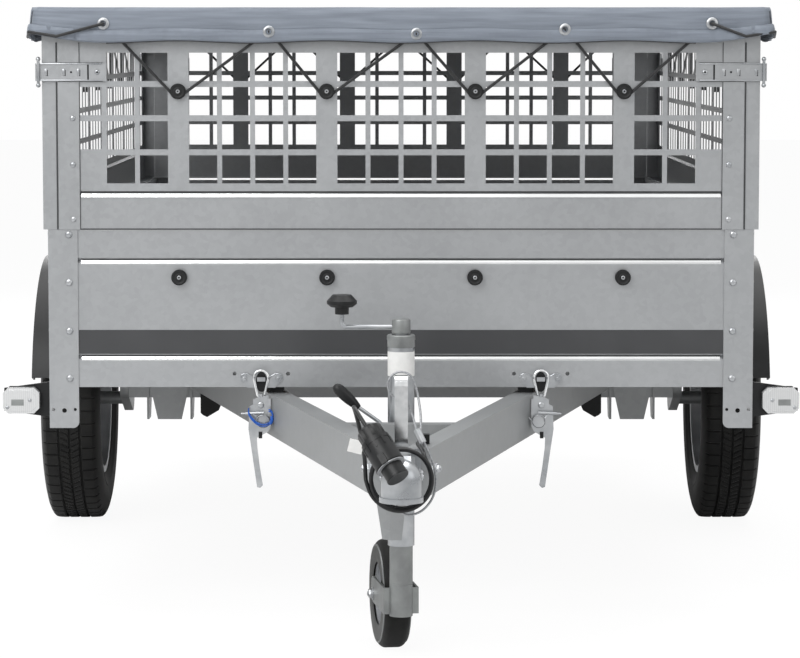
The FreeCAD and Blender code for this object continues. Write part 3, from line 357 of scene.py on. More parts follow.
# Thicker galvanised coat on the welded frame: duller and a little darker.
FRAME_ZINC = DippedZinc(
    "galvanised_steel_frame", "galvanised", light="#a0a2a3", dark="#8b8d8e", metallic=0.5,
    rough_low=0.38, rough_high=0.5, patch_mm=90.0, grain_mm=1.5, grain_depth_mm=0.02, crystal_mm=14.0,
)
# Electroplated zinc on pressed and turned steel: brighter and smoother than dipped zinc.
ZINC_PLATED = Finish(
    "steel_zinc_plated", "zinc_plated", light="#b4b6b8", dark="#9a9da0", metallic=0.9, rough_low=0.24,
    rough_high=0.34, patch_mm=40.0, grain_mm=0.8, grain_depth_mm=0.008,
)
# Polished steel of the coupling handle: near mirror with fine wear.
POLISHED = Finish(
    "steel_polished", "zinc_plated", light="#e2e3e4", dark="#cfd1d2", metallic=1.0, rough_low=0.1,
    rough_high=0.18, patch_mm=15.0, grain_mm=0.6, grain_depth_mm=0.004,
)
# Aluminium lacquer sprayed on the steel wheels: flat silver.
WHEEL_SILVER = Finish(
    "steel_silver_lacquer", "wheel_silver", light="#c4c6c8", dark="#b4b6b9", metallic=0.6,
    rough_low=0.38, rough_high=0.45, patch_mm=50.0, grain_mm=1.0, grain_depth_mm=0.01,
)
# Vulcanised tyre rubber: deep grey, dull, with dust in the fine grain.
TYRE_RUBBER = Finish(
    "rubber_vulcanised_tyre", "tyre_rubber", light="#20201f", dark="#131313", gloss=0.2, rough_low=0.62,
    rough_high=0.78, patch_mm=35.0, grain_mm=1.4, grain_depth_mm=0.06, sheen=0.1,
)
# Moulded EPDM rubber of arms, buttons and rests: nearly black, satin.
BLACK_RUBBER = Finish(
    "rubber_moulded_epdm", "black_rubber", light="#191a1b", dark="#121314", gloss=0.3, rough_low=0.45,
    rough_high=0.6, patch_mm=25.0, grain_mm=1.0, grain_depth_mm=0.03,
)
# Injection moulded polypropylene: black with a fine spark-eroded grain.
BLACK_PLASTIC = Finish(
    "polypropylene_moulded", "black_plastic", light="#1b1c1d", dark="#131415", gloss=0.3,
    rough_low=0.34, rough_high=0.46, patch_mm=30.0, grain_mm=1.1, grain_depth_mm=0.04,
)
# Braided sleeve of the elastic cord: black polyester.
BRAID = Finish(
    "polyester_braided_cord", "black_rubber", light="#232426", dark="#151617", rough_low=0.6,
    rough_high=0.75, patch_mm=6.0, grain_mm=1.2, grain_depth_mm=0.2, sheen=0.2,
)
# Matt vinyl film laid along the front wall.
VINYL = Finish(
    "vinyl_film_matt", "black_plastic", light="#3c3d3f", dark="#353638", rough_low=0.42, rough_high=0.5,
    patch_mm=120.0, grain_mm=1.5, grain_depth_mm=0.006,
)
# Coated paper of the plain labels.
LABEL = Finish(
    "paper_label_coated", "zinc_plated", light="#ececea", dark="#e2e2e0", rough_low=0.4, rough_high=0.5,
    patch_mm=20.0, grain_mm=0.8, grain_depth_mm=0.01,
)
# PVC sheath of the lighting cable: black, soft gloss.
CABLE_PVC = Finish(
    "pvc_cable_sheath", "black_rubber", light="#18191a", dark="#101112", gloss=0.35, rough_low=0.32,
    rough_high=0.42, patch_mm=12.0, grain_mm=0.9, grain_depth_mm=0.01,
)
# Wire rope under a clear plastic coat: silver grey.
COATED_WIRE = Finish(
    "wire_rope_plastic_coated", "zinc_plated", light="#a4a6a8", dark="#85878a", metallic=0.35,
    rough_low=0.3, rough_high=0.42, patch_mm=3.0, grain_mm=0.7, grain_depth_mm=0.08,
)
# Nylon strap that keeps a linch pin: dyed blue.
BLUE_NYLON = Finish(
    "nylon_strap_blue", "black_plastic", light="#1d5fc0", dark="#124a9c", rough_low=0.35,
    rough_high=0.5, patch_mm=5.0, grain_mm=0.6, grain_depth_mm=0.02,
)
# Zinc coat of the jockey wheel's fork, dulled by handling.
DULL_STEEL = Finish(
    "steel_zinc_dull", "wheel_silver", light="#8d908f", dark="#7b7d7d", metallic=0.6, rough_low=0.32,
    rough_high=0.45, patch_mm=40.0, grain_mm=0.9, grain_depth_mm=0.01,
)
# Centre of the jockey wheel: dark grey, partly its own tone and partly painted shade of the recessed dish.
WHEEL_CENTRE_AND_SHADE = Finish(
    "wheel_centre_grey_and_shade", "black_plastic", light="#4b4c4b", dark="#3a3b3a", gloss=0.3,
    rough_low=0.4, rough_high=0.55, patch_mm=25.0, grain_mm=1.0, grain_depth_mm=0.03,
)
# Painted shade: dark grey strips laid where only shadow falls, in the grooves, along the seams of the walls
# and round the lever bosses.
PAINTED_SHADE = Finish(
    "painted_shade_grey", "black_rubber", light="#48494a", dark="#3b3c3d", gloss=0.2, rough_low=0.6,
    rough_high=0.75, patch_mm=40.0, grain_mm=1.2, grain_depth_mm=0.03,
)
# Painted highlight: a near-white, glossy copy of the zinc on the lower groove faces, standing for the light
# that the folds catch.
GROOVE_HIGHLIGHT = Finish(
    "steel_zinc_painted_highlight", "galvanised", light="#f4f5f5", dark="#eceded", metallic=0.7, rough_low=0.16,
    rough_high=0.24, patch_mm=90.0, grain_mm=1.0, grain_depth_mm=0.004,
)
# Bare zinc left by the weld gun, brushed over with zinc paint.
WELD = Finish(
    "weld_bead_zinc", "galvanised", light="#a6a8ab", dark="#84878a", metallic=0.75, rough_low=0.42,
    rough_high=0.6, patch_mm=5.0, grain_mm=1.6, grain_depth_mm=0.15,
)
COVER_CLOTH = WovenCover(
    "polyester_coated_woven", "cover_fabric", light="#858d98", dark="#6c737e", rough_high=0.62,
    grain_depth_mm=1.1, sheen=0.15,
)
CLEAR_LENS = LampLens(
    "acrylic_clear_moulded", "lamp_clear", light="#dedfdf", dark="#d2d3d4", rough_low=0.14,
    grain_depth_mm=0.05, transmission=0.15,
)
RED_LENS = LampLens(
    "acrylic_red_moulded", "lamp_red", light="#b3141a", dark="#8a0d12", rough_low=0.14,
    grain_depth_mm=0.25, transmission=0.2,
)
FLOOR_PLY = FilmPly(
    "plywood_film_faced", "floor_board", light="#4b3a2e", dark="#3c2e25", rough_high=0.5,
    patch_mm=150.0, grain_depth_mm=0.3,
)


class Stock:
    """Makes each finish once and hands it out."""

    made: dict[str, bpy.types.Material] = {}

    @classmethod
    def of(cls, finish: Finish) -> bpy.types.Material:
        """Gives the material of a finish."""
        if finish.name not in cls.made:
            cls.made[finish.name] = finish.build()
        return cls.made[finish.name]


NODE_FINISHES: dict[Finish, tuple[str, ...]] = {
    GALVANISED: (
        "front_posts", "rear_posts", "front_panel", "side_panel_left", "side_panel_right",
        "front_mesh", "rear_mesh", "side_mesh_left", "side_mesh_right", "tailgate_panel",
        "rear_sill", "mesh_latches", "cover_bars",
    ),
    FRAME_ZINC: (
        "drawbar_left", "drawbar_right", "drawbar_cross", "nose_guard", "axle_tube", "arm_left",
        "arm_right", "pivot_brackets", "side_rails", "cross_rails", "pivot_lugs",
    ),
    ZINC_PLATED: (
        "jockey_tube", "jockey_clamp", "jockey_crank", "coupling", "release_levers",
        "release_rings", "tail_hinges", "catch_plates", "tailgate_leaves", "tailgate_latches",
        "clamp_lever", "wire_ferrule",
    ),
    DULL_STEEL: ("jockey_inner", "jockey_fork"),
    POLISHED: ("coupling_handle",),
    WHEEL_SILVER: ("rim_left", "rim_right", "jockey_hub"),
    TYRE_RUBBER: ("tyre_left", "tyre_right", "jockey_tyre"),
    BLACK_RUBBER: ("bed_rests", "lamp_arms", "cord_buttons"),
    BLACK_PLASTIC: ("crank_knob", "mudguard_left", "mudguard_right", "plug", "cable_gland"),
    FLOOR_PLY: ("floor",),
    CLEAR_LENS: ("marker_lamps",),
    RED_LENS: ("rear_lamps",),
}


# Mesh tools


def aim(place: Sequence[float], direction: Sequence[float]) -> Matrix:
    """Gives the matrix that puts local Z along a direction at a place."""
    return Matrix.Translation(place) @ Vector(direction).to_track_quat("Z", "Y").to_matrix().to_4x4()


def hand(side: int) -> str:
    """Names a side."""
    return "left" if side < 0 else "right"


def face_of(node: str, way: int) -> float:
    """Gives where a node's front or back face lies along Y.

    Args:
        node: Name of the CAD node.
        way: -1 front, 1 back.

    Returns:
        The face's place, in metres.
    """
    low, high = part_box(node)
    return low[1] if way < 0 else high[1]


def lathe(shape: Form, outline: Outline, place: Matrix, steps: int, unit: float = MM) -> None:
    """Turns an outline about local Z.

    Args:
        shape: Mesh that takes the turned form.
        outline: Pairs of radius and height.
        place: Matrix from the turned form to the row frame.
        steps: Faces round the turn.
        unit: Unit of the outline, in metres.
    """
    known = set(shape.verts)
    profile = [shape.verts.new((radius * unit, 0, height * unit)) for radius, height in outline]
    edges = [shape.edges.new(pair) for pair in zip(profile, profile[1:])]
    bmesh.ops.spin(
        shape,
        geom=profile + edges,
        axis=(0, 0, 1),
        cent=(0, 0, 0),
        angle=TURN,
        steps=steps,
        use_merge=True,
    )
    fresh = [vert for vert in shape.verts if vert not in known]
    bmesh.ops.remove_doubles(shape, verts=fresh, dist=1e-6)
    fresh = [vert for vert in shape.verts if vert not in known]
    bmesh.ops.transform(shape, matrix=place, verts=fresh)


def slab(shape: Form, corner: Sequence[float], other: Sequence[float], edge: float = 0.0) -> None:
    """Adds a block between two opposite corners, with its edges bevelled.

    Args:
        shape: Mesh that takes the block.
        corner: One corner, in metres.
        other: Opposite corner.
        edge: Width of the bevel.
    """
    pairs = [sorted(pair) for pair in zip(corner, other)]
    span = [high - low for low, high in pairs]
    middle = [(low + high) / 2 for low, high in pairs]
    matrix = Matrix.Translation(middle) @ Matrix.Diagonal((*span, 1.0))
    made = bmesh.ops.create_cube(shape, size=1.0, matrix=matrix)
    if edge:
        edges = list({e for v in made["verts"] for e in v.link_edges})
        bmesh.ops.bevel(
            shape,
            geom=edges,
            offset=edge,
            offset_type="OFFSET",
            segments=2,
            profile=0.5,
            affect="EDGES",
            material=-1,
        )


def brick(shape: Form, frame: Matrix, size: Place) -> None:
    """Adds a block of a size in millimetres about the middle of a turned frame."""
    scale = Matrix.Diagonal((*(length * MM for length in size), 1.0))
    bmesh.ops.create_cube(shape, size=1.0, matrix=frame @ scale)


def bar(shape: Form, start: Sequence[float], end: Sequence[float], radius: float, sides: int = 16) -> None:
    """Adds a round bar between two points.

    Args:
        shape: Mesh that takes the bar.
        start: Middle of its first end, in metres.
        end: Middle of its other end.
        radius: Its radius.
        sides: Faces round it.
    """
    run = Vector(end) - Vector(start)
    bmesh.ops.create_cone(
        shape,
        cap_ends=True,
        cap_tris=False,
        segments=sides,
        radius1=radius,
        radius2=radius,
        depth=run.length,
        matrix=aim(Vector(start) + run / 2, run),
    )


def prism(shape: Form, outline: Sequence[Vector], run: Vector, taper: float = 1.0) -> None:
    """Raises a closed outline along a run, drawn in or out at its end.

    Args:
        shape: Mesh that takes the solid.
        outline: Corners of the flat outline, in order.
        run: Way and height of the solid.
        taper: Size of the far end against the near one.
    """
    corners = [shape.verts.new(spot) for spot in outline]
    base = bmesh.ops.contextual_create(shape, geom=corners)["faces"]
    raised = bmesh.ops.extrude_face_region(shape, geom=base)
    moved = [part for part in raised["geom"] if isinstance(part, bmesh.types.BMVert)]
    centre = sum((vert.co for vert in moved), Vector()) / len(moved)
    space = Matrix.Translation(-centre)
    bmesh.ops.scale(shape, vec=(taper, taper, taper), space=space, verts=moved)
    bmesh.ops.translate(shape, vec=run, verts=moved)


def piece(
    name: str, shape: Form, finish: Finish, body: Body, crease: float = 40.0
) -> Thing:
    """Turns a mesh into a finished piece that rides on a body.

    Args:
        name: Name of the piece.
        shape: Its mesh, in the row frame; it is freed here.
        finish: Its finish.
        body: Body that it rides on.
        crease: Angle in degrees above which an edge stays sharp.

    Returns:
        The new object.
    """
    bmesh.ops.recalc_face_normals(shape, faces=shape.faces)
    mesh = bpy.data.meshes.new(name)
    shape.to_mesh(mesh)
    shape.free()
    mesh.shade_smooth()
    mesh.set_sharp_from_angle(angle=math.radians(crease))
    return settle(bpy.data.objects.new(name, mesh), finish, body)


def settle(made: Thing, finish: Finish, body: Body) -> Thing:
    """Links a piece, gives it its finish, and lets it ride on its body.

    Args:
        made: The new object.
        finish: Its finish.
        body: Body that it rides on.

    Returns:
        The same object.
    """
    bpy.context.collection.objects.link(made)
    made.data.materials.append(Stock.of(finish))
    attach(made, body.value)
    LOG.info("%s rides on %s", made.name, body.value)
    return made


def line_of(
    name: str,
    runs: Sequence[Sequence[Sequence[float]]],
    radius: float,
    rounds: int,
    steps: int,
    order: int = 3,
    kind: str = "NURBS",
) -> Thing:
    """Draws round lines as one curve.

    Args:
        name: Name of the curve.
        runs: Points of each line, in metres.
        radius: Radius of the lines.
        rounds: Fineness round the line.
        steps: Fineness along the line.
        order: Order of the line; 2 is straight runs.
        kind: Blender's name of the spline type.

    Returns:
        The curve object, not linked yet.
    """
    data = bpy.data.curves.new(name, "CURVE")
    data.dimensions = "3D"
    data.bevel_depth = radius
    data.bevel_resolution = rounds
    data.resolution_u = steps
    data.use_fill_caps = True
    for places in runs:
        line = data.splines.new(kind)
        line.points.add(len(places) - 1)
        for spot, place in zip(line.points, places):
            spot.co = (*place, 1.0)
        line.order_u = order
        line.use_endpoint_u = True
    return bpy.data.objects.new(name, data)


def wire(
    name: str,
    runs: Sequence[Sequence[Sequence[float]]],
    radius: float,
    finish: Finish,
    body: Body,
    order: int = 3,
    kind: str = "NURBS",
) -> Thing:
    """Makes bent wires or taut cords as one mesh.

    Args:
        name: Name of the piece.
        runs: Points of each wire, in metres.
        radius: Radius of the wires.
        finish: Their finish.
        body: Body that they ride on.
        order: Order of the lines; 2 is straight runs.
        kind: Blender's name of the spline type.

    Returns:
        The new object.
    """
    rounds = 2 if kind == "POLY" else 3
    holder = line_of(name, runs, radius, rounds, 4, order, kind)
    data = holder.data
    mesh = bpy.data.meshes.new_from_object(holder)
    bpy.data.objects.remove(holder)
    bpy.data.curves.remove(data)
    mesh.name = name
    mesh.shade_smooth()
    return settle(bpy.data.objects.new(name, mesh), finish, body)


@dataclass
class Fastener:
    """Head of a bolt, screw or rivet, turned from one outline; sizes in millimetres."""

    radius: float
    height: float
    steps: int = 12

    def drive(self, shape: Form, place: Sequence[float], way: Sequence[float]) -> None:
        """Adds one head at a place, crown along way.

        Args:
            shape: Mesh that takes the head.
            place: Middle of its foot, in metres.
            way: Direction of its crown.
        """
        shares = ((1.0, 0.0), (1.0, 0.25), (0.86, 0.68), (0.5, 0.95), (0.0, 1.0))
        dome = [(self.radius * across, self.height * up) for across, up in shares]
        lathe(shape, dome, aim(place, way), self.steps)


@dataclass
class HexNut(Fastener):
    """Hexagon nut on its washer, with the bolt's end standing proud; sizes in millimetres."""

    washer_shares: Outline = ((0.0, 0.0), (1.35, 0.0), (1.35, 0.18), (0.0, 0.18))
    nut_shares: Outline = ((0.0, 0.18), (1.0, 0.18), (1.0, 0.85), (0.9, 1.0), (0.0, 1.0))
    stud_shares: Outline = ((0.5, 0.9), (0.5, 1.235), (0.4, 1.3), (0.0, 1.3))

    def drive(self, shape: Form, place: Sequence[float], way: Sequence[float]) -> None:
        """Adds one nut at a place, end along way.

        Args:
            shape: Mesh that takes the nut.
            place: Middle of its washer, in metres.
            way: Direction of the bolt's end.
        """
        for shares, steps in ((self.washer_shares, 16), (self.nut_shares, 6), (self.stud_shares, 10)):
            outline = [(self.radius * across, self.height * up) for across, up in shares]
            lathe(shape, outline, aim(place, way), steps)


# Studio


@dataclass
class Studio:
    """White studio: camera in front of the coupling, pale floor and soft lamps."""

    distance: float = 6.675
    height: float = 1.107
    shift: float = -0.002
    pitch: float = 84.8
    lens: float = 140.4
    sensor: float = 36.0
    sight: float = 200.0
    floor_size: float = 60.0
    floor_glow: float = 1.04
    glow_share: float = 0.9
    sky: float = 0.36

    def build(self) -> None:
        """Sets up camera, floor, world and lamps."""
        scene = bpy.context.scene
        scene.view_settings.view_transform = "Standard"
        self.place_camera(scene)
        self.lay_floor()
        self.light_world(scene)
        self.hang_lamps()

    def place_camera(self, scene: bpy.types.Scene) -> None:
        """Stands the camera where the photograph was taken.

        Args:
            scene: Scene that looks through it.
        """
        data = bpy.data.cameras.new("camera")
        data.lens = self.lens
        data.sensor_width = self.sensor
        data.clip_end = self.sight
        camera = bpy.data.objects.new("camera", data)
        camera.location = (self.shift, -self.distance, self.height)
        camera.rotation_euler = (math.radians(self.pitch), 0.0, 0.0)
        bpy.context.collection.objects.link(camera)
        scene.camera = camera

    def lay_floor(self) -> None:
        """Lays the floor, which takes shadow and shows white to the camera."""
        shape = bmesh.new()
        bmesh.ops.create_grid(shape, x_segments=1, y_segments=1, size=self.floor_size / 2)
        mesh = bpy.data.meshes.new("studio_floor")
        shape.to_mesh(mesh)
        shape.free()
        floor = bpy.data.objects.new("studio_floor", mesh)
        bpy.context.collection.objects.link(floor)
        material = bpy.data.materials.new("studio_floor_paint")
        material.use_nodes = True
        tree = material.node_tree
        shader = tree.nodes["Principled BSDF"]
        shader.inputs["Base Color"].default_value = linear("#f2f2f2")
        shader.inputs["Roughness"].default_value = 0.9
        shader.inputs["Specular IOR Level"].default_value = 0.1
        white = {"Color": linear("#ffffff"), "Strength": self.floor_glow}
        glow = add_node(tree, "ShaderNodeEmission", white).outputs[0]
        camera = add_node(tree, "ShaderNodeLightPath").outputs["Is Camera Ray"]
        settings = {"operation": "MULTIPLY", 1: self.glow_share}
        seen = add_node(tree, "ShaderNodeMath", settings, {0: camera}).outputs[0]
        mix = add_node(tree, "ShaderNodeMixShader", None, {0: seen, 1: shader.outputs[0], 2: glow})
        out = next(node for node in tree.nodes if node.type == "OUTPUT_MATERIAL")
        tree.links.new(mix.outputs[0], out.inputs["Surface"])
        mesh.materials.append(material)

    def light_world(self, scene: bpy.types.Scene) -> None:
        """Gives a white surround to camera and gloss, and a softer one to the light.

        Args:
            scene: Scene that takes the surround.
        """
        world = bpy.data.worlds.new("studio_world")
        world.use_nodes = True
        tree = world.node_tree
        tree.nodes.clear()
        soft, white = (
            add_node(tree, "ShaderNodeBackground", {"Color": linear("#ffffff"), "Strength": strength})
            for strength in (self.sky, 1.0)
        )
        rays = add_node(tree, "ShaderNodeLightPath")
        seen = rays.outputs["Is Camera Ray"]
        for kind in ("Is Transmission Ray", "Is Glossy Ray"):
            links = {0: seen, 1: rays.outputs[kind]}
            seen = add_node(tree, "ShaderNodeMath", {"operation": "MAXIMUM"}, links).outputs[0]
        mix = add_node(
            tree, "ShaderNodeMixShader", None, {0: seen, 1: soft.outputs[0], 2: white.outputs[0]}
        )
        add_node(tree, "ShaderNodeOutputWorld", None, {"Surface": mix.outputs[0]})
        scene.world = world

    def hang_lamps(self) -> None:
        """Hangs a broad soft lamp on the left, a weak one on the right, one above and one behind."""
        lamps = (
            ("key", (-2.4, -4.4, 4.0), (0.0, -0.4, 0.6), 3.6, 205.0),
            ("fill", (3.6, -3.4, 2.6), (0.0, 0.0, 0.6), 3.0, 24.0),
            ("top", (0.0, 0.6, 4.6), (0.0, 0.5, 0.0), 4.5, 170.0),
            ("back", (0.0, 6.0, 3.4), (0.0, 0.6, 0.6), 3.6, 110.0),
        )
        for name, place, target, size, power in lamps:
            data = bpy.data.lights.new(name, "AREA")
            data.size = size
            data.energy = power
            lamp = bpy.data.objects.new(name, data)
            lamp.matrix_world = aim(place, Vector(place) - Vector(target))
            bpy.context.collection.objects.link(lamp)


# Box and mesh sides


@dataclass
class BoxTrim:
    """Bolts, rivets, grooves with their painted highlight and shade, painted shadow along the seams, and
    film stripe of the pressed box, in metres.
    """

    post_x: float = 0.640
    post_rows: tuple[float, ...] = (0.7435, 0.651, 0.557, 0.465)
    post_inset: float = 0.030
    strip_x: float = 0.630
    strip_rows: tuple[float, ...] = (0.967, 0.878, 0.773)
    stripe_inset: float = 0.0575
    stripe_low: float = 0.5125
    stripe_high: float = 0.559
    grooves: tuple[float, ...] = (0.507, 0.6935, 0.8223)
    groove_mm: Outline = ((-3.0, 0.4), (-1.5, -2.8), (-0.2, -5.4), (0.35, -6.4), (0.2, -7.0), (-0.6, -7.2))
    crown: float = 0.7530
    crown_scale: float = 0.35
    wall_reach: float = 0.617
    mesh_reach: float = 0.615
    side_inset: float = 0.058
    groove_shade_corners: Outline = ((0.0022, 0.0002), (0.0032, 0.0042))
    seam_reach: float = 0.6165
    seam_rise: Pair = (0.0004, 0.0022)
    seam_depth: Pair = (-0.00015, 0.0005)
    corner_seams: Outline = ((0.6170, 0.0006), (0.6606, 0.0013))
    corner_rows: Outline = ((0.7535, 1.0365), (1.0745, 1.112))

    def build(self) -> None:
        """Makes all the trim of the box."""
        self.drive_post_bolts()
        self.drive_mesh_rivets()
        self.lay_stripe()
        self.press_grooves()
        self.paint_seam_shadows()

    def drive_post_bolts(self) -> None:
        """Sets domed bolts down the corner posts, on their front and side flanges."""
        bolt = Fastener(7.0, 3.5)
        shape = bmesh.new()
        for node, way in (("front_posts", -1), ("rear_posts", 1)):
            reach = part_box(node)[1][0]
            face = face_of(node, way)
            for side in SIDES:
                for z in self.post_rows:
                    bolt.drive(shape, (side * self.post_x, face, z), (0, way, 0))
                    bolt.drive(shape, (side * reach, face - way * self.post_inset, z), (side, 0, 0))
        piece("post_bolts", shape, ZINC_PLATED, Body.BED)

    def drive_mesh_rivets(self) -> None:
        """Sets rivets down the end strips of the mesh, front and rear."""
        rivet = Fastener(5.5, 2.5)
        shape = bmesh.new()
        for node, way in (("front_mesh", -1), ("rear_mesh", 1)):
            for side in SIDES:
                for z in self.strip_rows:
                    rivet.drive(shape, (side * self.strip_x, face_of(node, way), z), (0, way, 0))
        piece("mesh_rivets", shape, ZINC_PLATED, Body.BED)

    def lay_stripe(self) -> None:
        """Lays the plain dark film along the front wall."""
        face = face_of("front_panel", -1)
        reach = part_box("front_posts")[1][0] - self.stripe_inset
        shape = bmesh.new()
        corner = (-reach, face - 0.35 * MM, self.stripe_low)
        slab(shape, corner, (reach, face - 0.05 * MM, self.stripe_high))
        piece("front_stripe", shape, VINYL, Body.BED)

    def press_grooves(self) -> None:
        """Lays the lower face of every pressed groove, front and sides, near-white as a painted highlight,
        and a dark strip as painted shade in each groove.
        """
        bright, dark = bmesh.new(), bmesh.new()
        for z in self.grooves:
            raised = z > self.crown
            face = face_of("front_mesh" if raised else "front_panel", -1)
            reach = self.mesh_reach if raised else self.wall_reach
            runs = [((-reach, face, z), (reach, face, z), FRONT)]
            low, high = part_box("side_mesh_right" if raised else "side_panel_right")
            for side in SIDES:
                start = (side * high[0], low[1] + self.side_inset, z)
                end = (side * high[0], high[1] - self.side_inset, z)
                runs.append((start, end, Vector((side, 0, 0))))
            for start, end, way in runs:
                self.groove_face(bright, start, end, way)
                # Dark strip on the groove's upper face: painted shade.
                corners = (
                    Vector(spot) - way * depth + Vector((0, 0, rise))
                    for spot, (depth, rise) in zip((start, end), self.groove_shade_corners)
                )
                slab(dark, *corners)
        face = face_of("front_panel", -1)
        ends = ((side * self.wall_reach, face, self.crown) for side in SIDES)
        self.groove_face(bright, *ends, FRONT, self.crown_scale)
        # Lower groove faces: near-white as a painted highlight.
        piece("groove_face_highlights", bright, GROOVE_HIGHLIGHT, Body.BED, 50.0)
        piece("groove_shadows", dark, PAINTED_SHADE, Body.BED)

    def groove_face(self, shape: Form, start: Place, end: Place, way: Vector, scale: float = 1.0) -> None:
        """Adds the leaning face of one groove.

        Args:
            shape: Mesh that takes it.
            start: First end on the wall's outer face, at the groove's middle height.
            end: Other end.
            way: Outward direction of the wall.
            scale: Size against a full groove.
        """
        size = MM * scale
        line = [Vector(start) + way * out * size + Vector((0, 0, up * size)) for out, up in self.groove_mm]
        prism(shape, line, Vector(end) - Vector(start))

    def paint_seam_shadows(self) -> None:
        """Lays dark strips as painted shadow in the gaps between walls, mesh and corner sheets."""
        low, high = (self.crown + rise for rise in self.seam_rise)
        areas = [(-self.seam_reach, low, self.seam_reach, high)]
        for side in SIDES:
            for x, half in self.corner_seams:
                for low, high in self.corner_rows:
                    areas.append((side * x - half, low, side * x + half, high))
        near, far = (face_of("front_mesh", -1) + depth for depth in self.seam_depth)
        shape = bmesh.new()
        for left, low, right, high in areas:
            slab(shape, (left, near, low), (right, far, high))
        piece("wall_gap_shadows", shape, PAINTED_SHADE, Body.BED)


# Drawbar and nose


@dataclass
class NoseCords:
    """Lighting cable wound on the coupling's neck, and the coated safety wire, in metres."""

    lead_in: Route = (
        (0.038, -1.446, 0.444), (0.038, -1.484, 0.444), (0.026, -1.524, 0.4485),
        (0.030, -1.564, 0.4475), (0.036, -1.592, 0.443),
    )
    lead_out: Route = (
        (-0.0584, -1.613, 0.402), (-0.0595, -1.609, 0.432), (-0.064, -1.599, 0.463),
        (-0.0705, -1.5985, 0.492), (-0.076, -1.617, 0.515), (-0.0778, -1.645, 0.5237),
        (-0.0705, -1.6733, 0.5159), (-0.0563, -1.6873, 0.4948),
    )
    wire_route: Route = (
        (-0.010, -1.597, 0.3739), (-0.010, -1.5975, 0.350), (0.008, -1.599, 0.336),
        (0.034, -1.600, 0.343), (0.053, -1.599, 0.366), (0.058, -1.597, 0.394),
        (0.054, -1.594, 0.420), (0.044, -1.588, 0.445), (0.031, -1.583, 0.468),
        (0.033, -1.566, 0.492), (0.030, -1.549, 0.518), (0.025, -1.541, 0.5416),
        (0.0163, -1.537, 0.5655), (-0.0087, -1.537, 0.5699), (-0.025, -1.537, 0.5504),
        (-0.0163, -1.537, 0.5265), (0.0087, -1.537, 0.5221), (0.018, -1.552, 0.500),
        (0.025, -1.572, 0.476), (0.0286, -1.5796, 0.464),
    )
    lead_length: float = 1.2
    lead_diameter: float = 0.007
    wire_length: float = 0.482
    wire_diameter: float = 0.004
    coil_z: float = 0.400
    coil_back: float = -1.6075
    coil_radius: float = 0.0508
    coil_ripple: float = 0.0008
    ripple_rate: float = 0.7
    coil_pitch: float = 0.0077
    coil_start: float = 40.0
    coil_turns: float = 937.0 / 360
    close_turns: float = 2.1
    last_wider: float = 0.0065
    last_back: float = 0.008
    coil_points: int = 38

    def build(self, nodes: dict[str, Thing]) -> None:
        """Args:
            nodes: CAD nodes by name; not used.
        """
        route = [*self.lead_in, *self.coil(), *self.lead_out]
        lead = settle(self.line("lighting_cable", route, self.lead_diameter), CABLE_PVC, Body.CHASSIS)
        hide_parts("cable", "cable_coil")
        line = self.line("breakaway_wire", self.wire_route, self.wire_diameter)
        coated = settle(line, COATED_WIRE, Body.CHASSIS)
        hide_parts("safety_wire")

    def line(self, name: str, route: Sequence[Place], diameter: float) -> Thing:
        """Gives a free cord as one smooth curve."""
        return line_of(name, [route], diameter / 2, rounds=4, steps=8)

    def coil(self) -> list[Place]:
        """Winds the cable round the neck in loose turns, back to front.

        Returns:
            Control points of the turns.
        """
        points = []
        for k in range(self.coil_points):
            turns = self.coil_turns * k / (self.coil_points - 1)
            angle = math.radians(self.coil_start - 360 * turns)
            last = max(0.0, turns - self.close_turns) / (self.coil_turns - self.close_turns)
            radius = self.coil_radius + self.coil_ripple * math.sin(k * self.ripple_rate)
            radius += self.last_wider * last
            y = self.coil_back - self.coil_pitch * min(turns, self.close_turns) + self.last_back * last
            points.append((radius * math.cos(angle), y, self.coil_z + radius * math.sin(angle)))
        return points


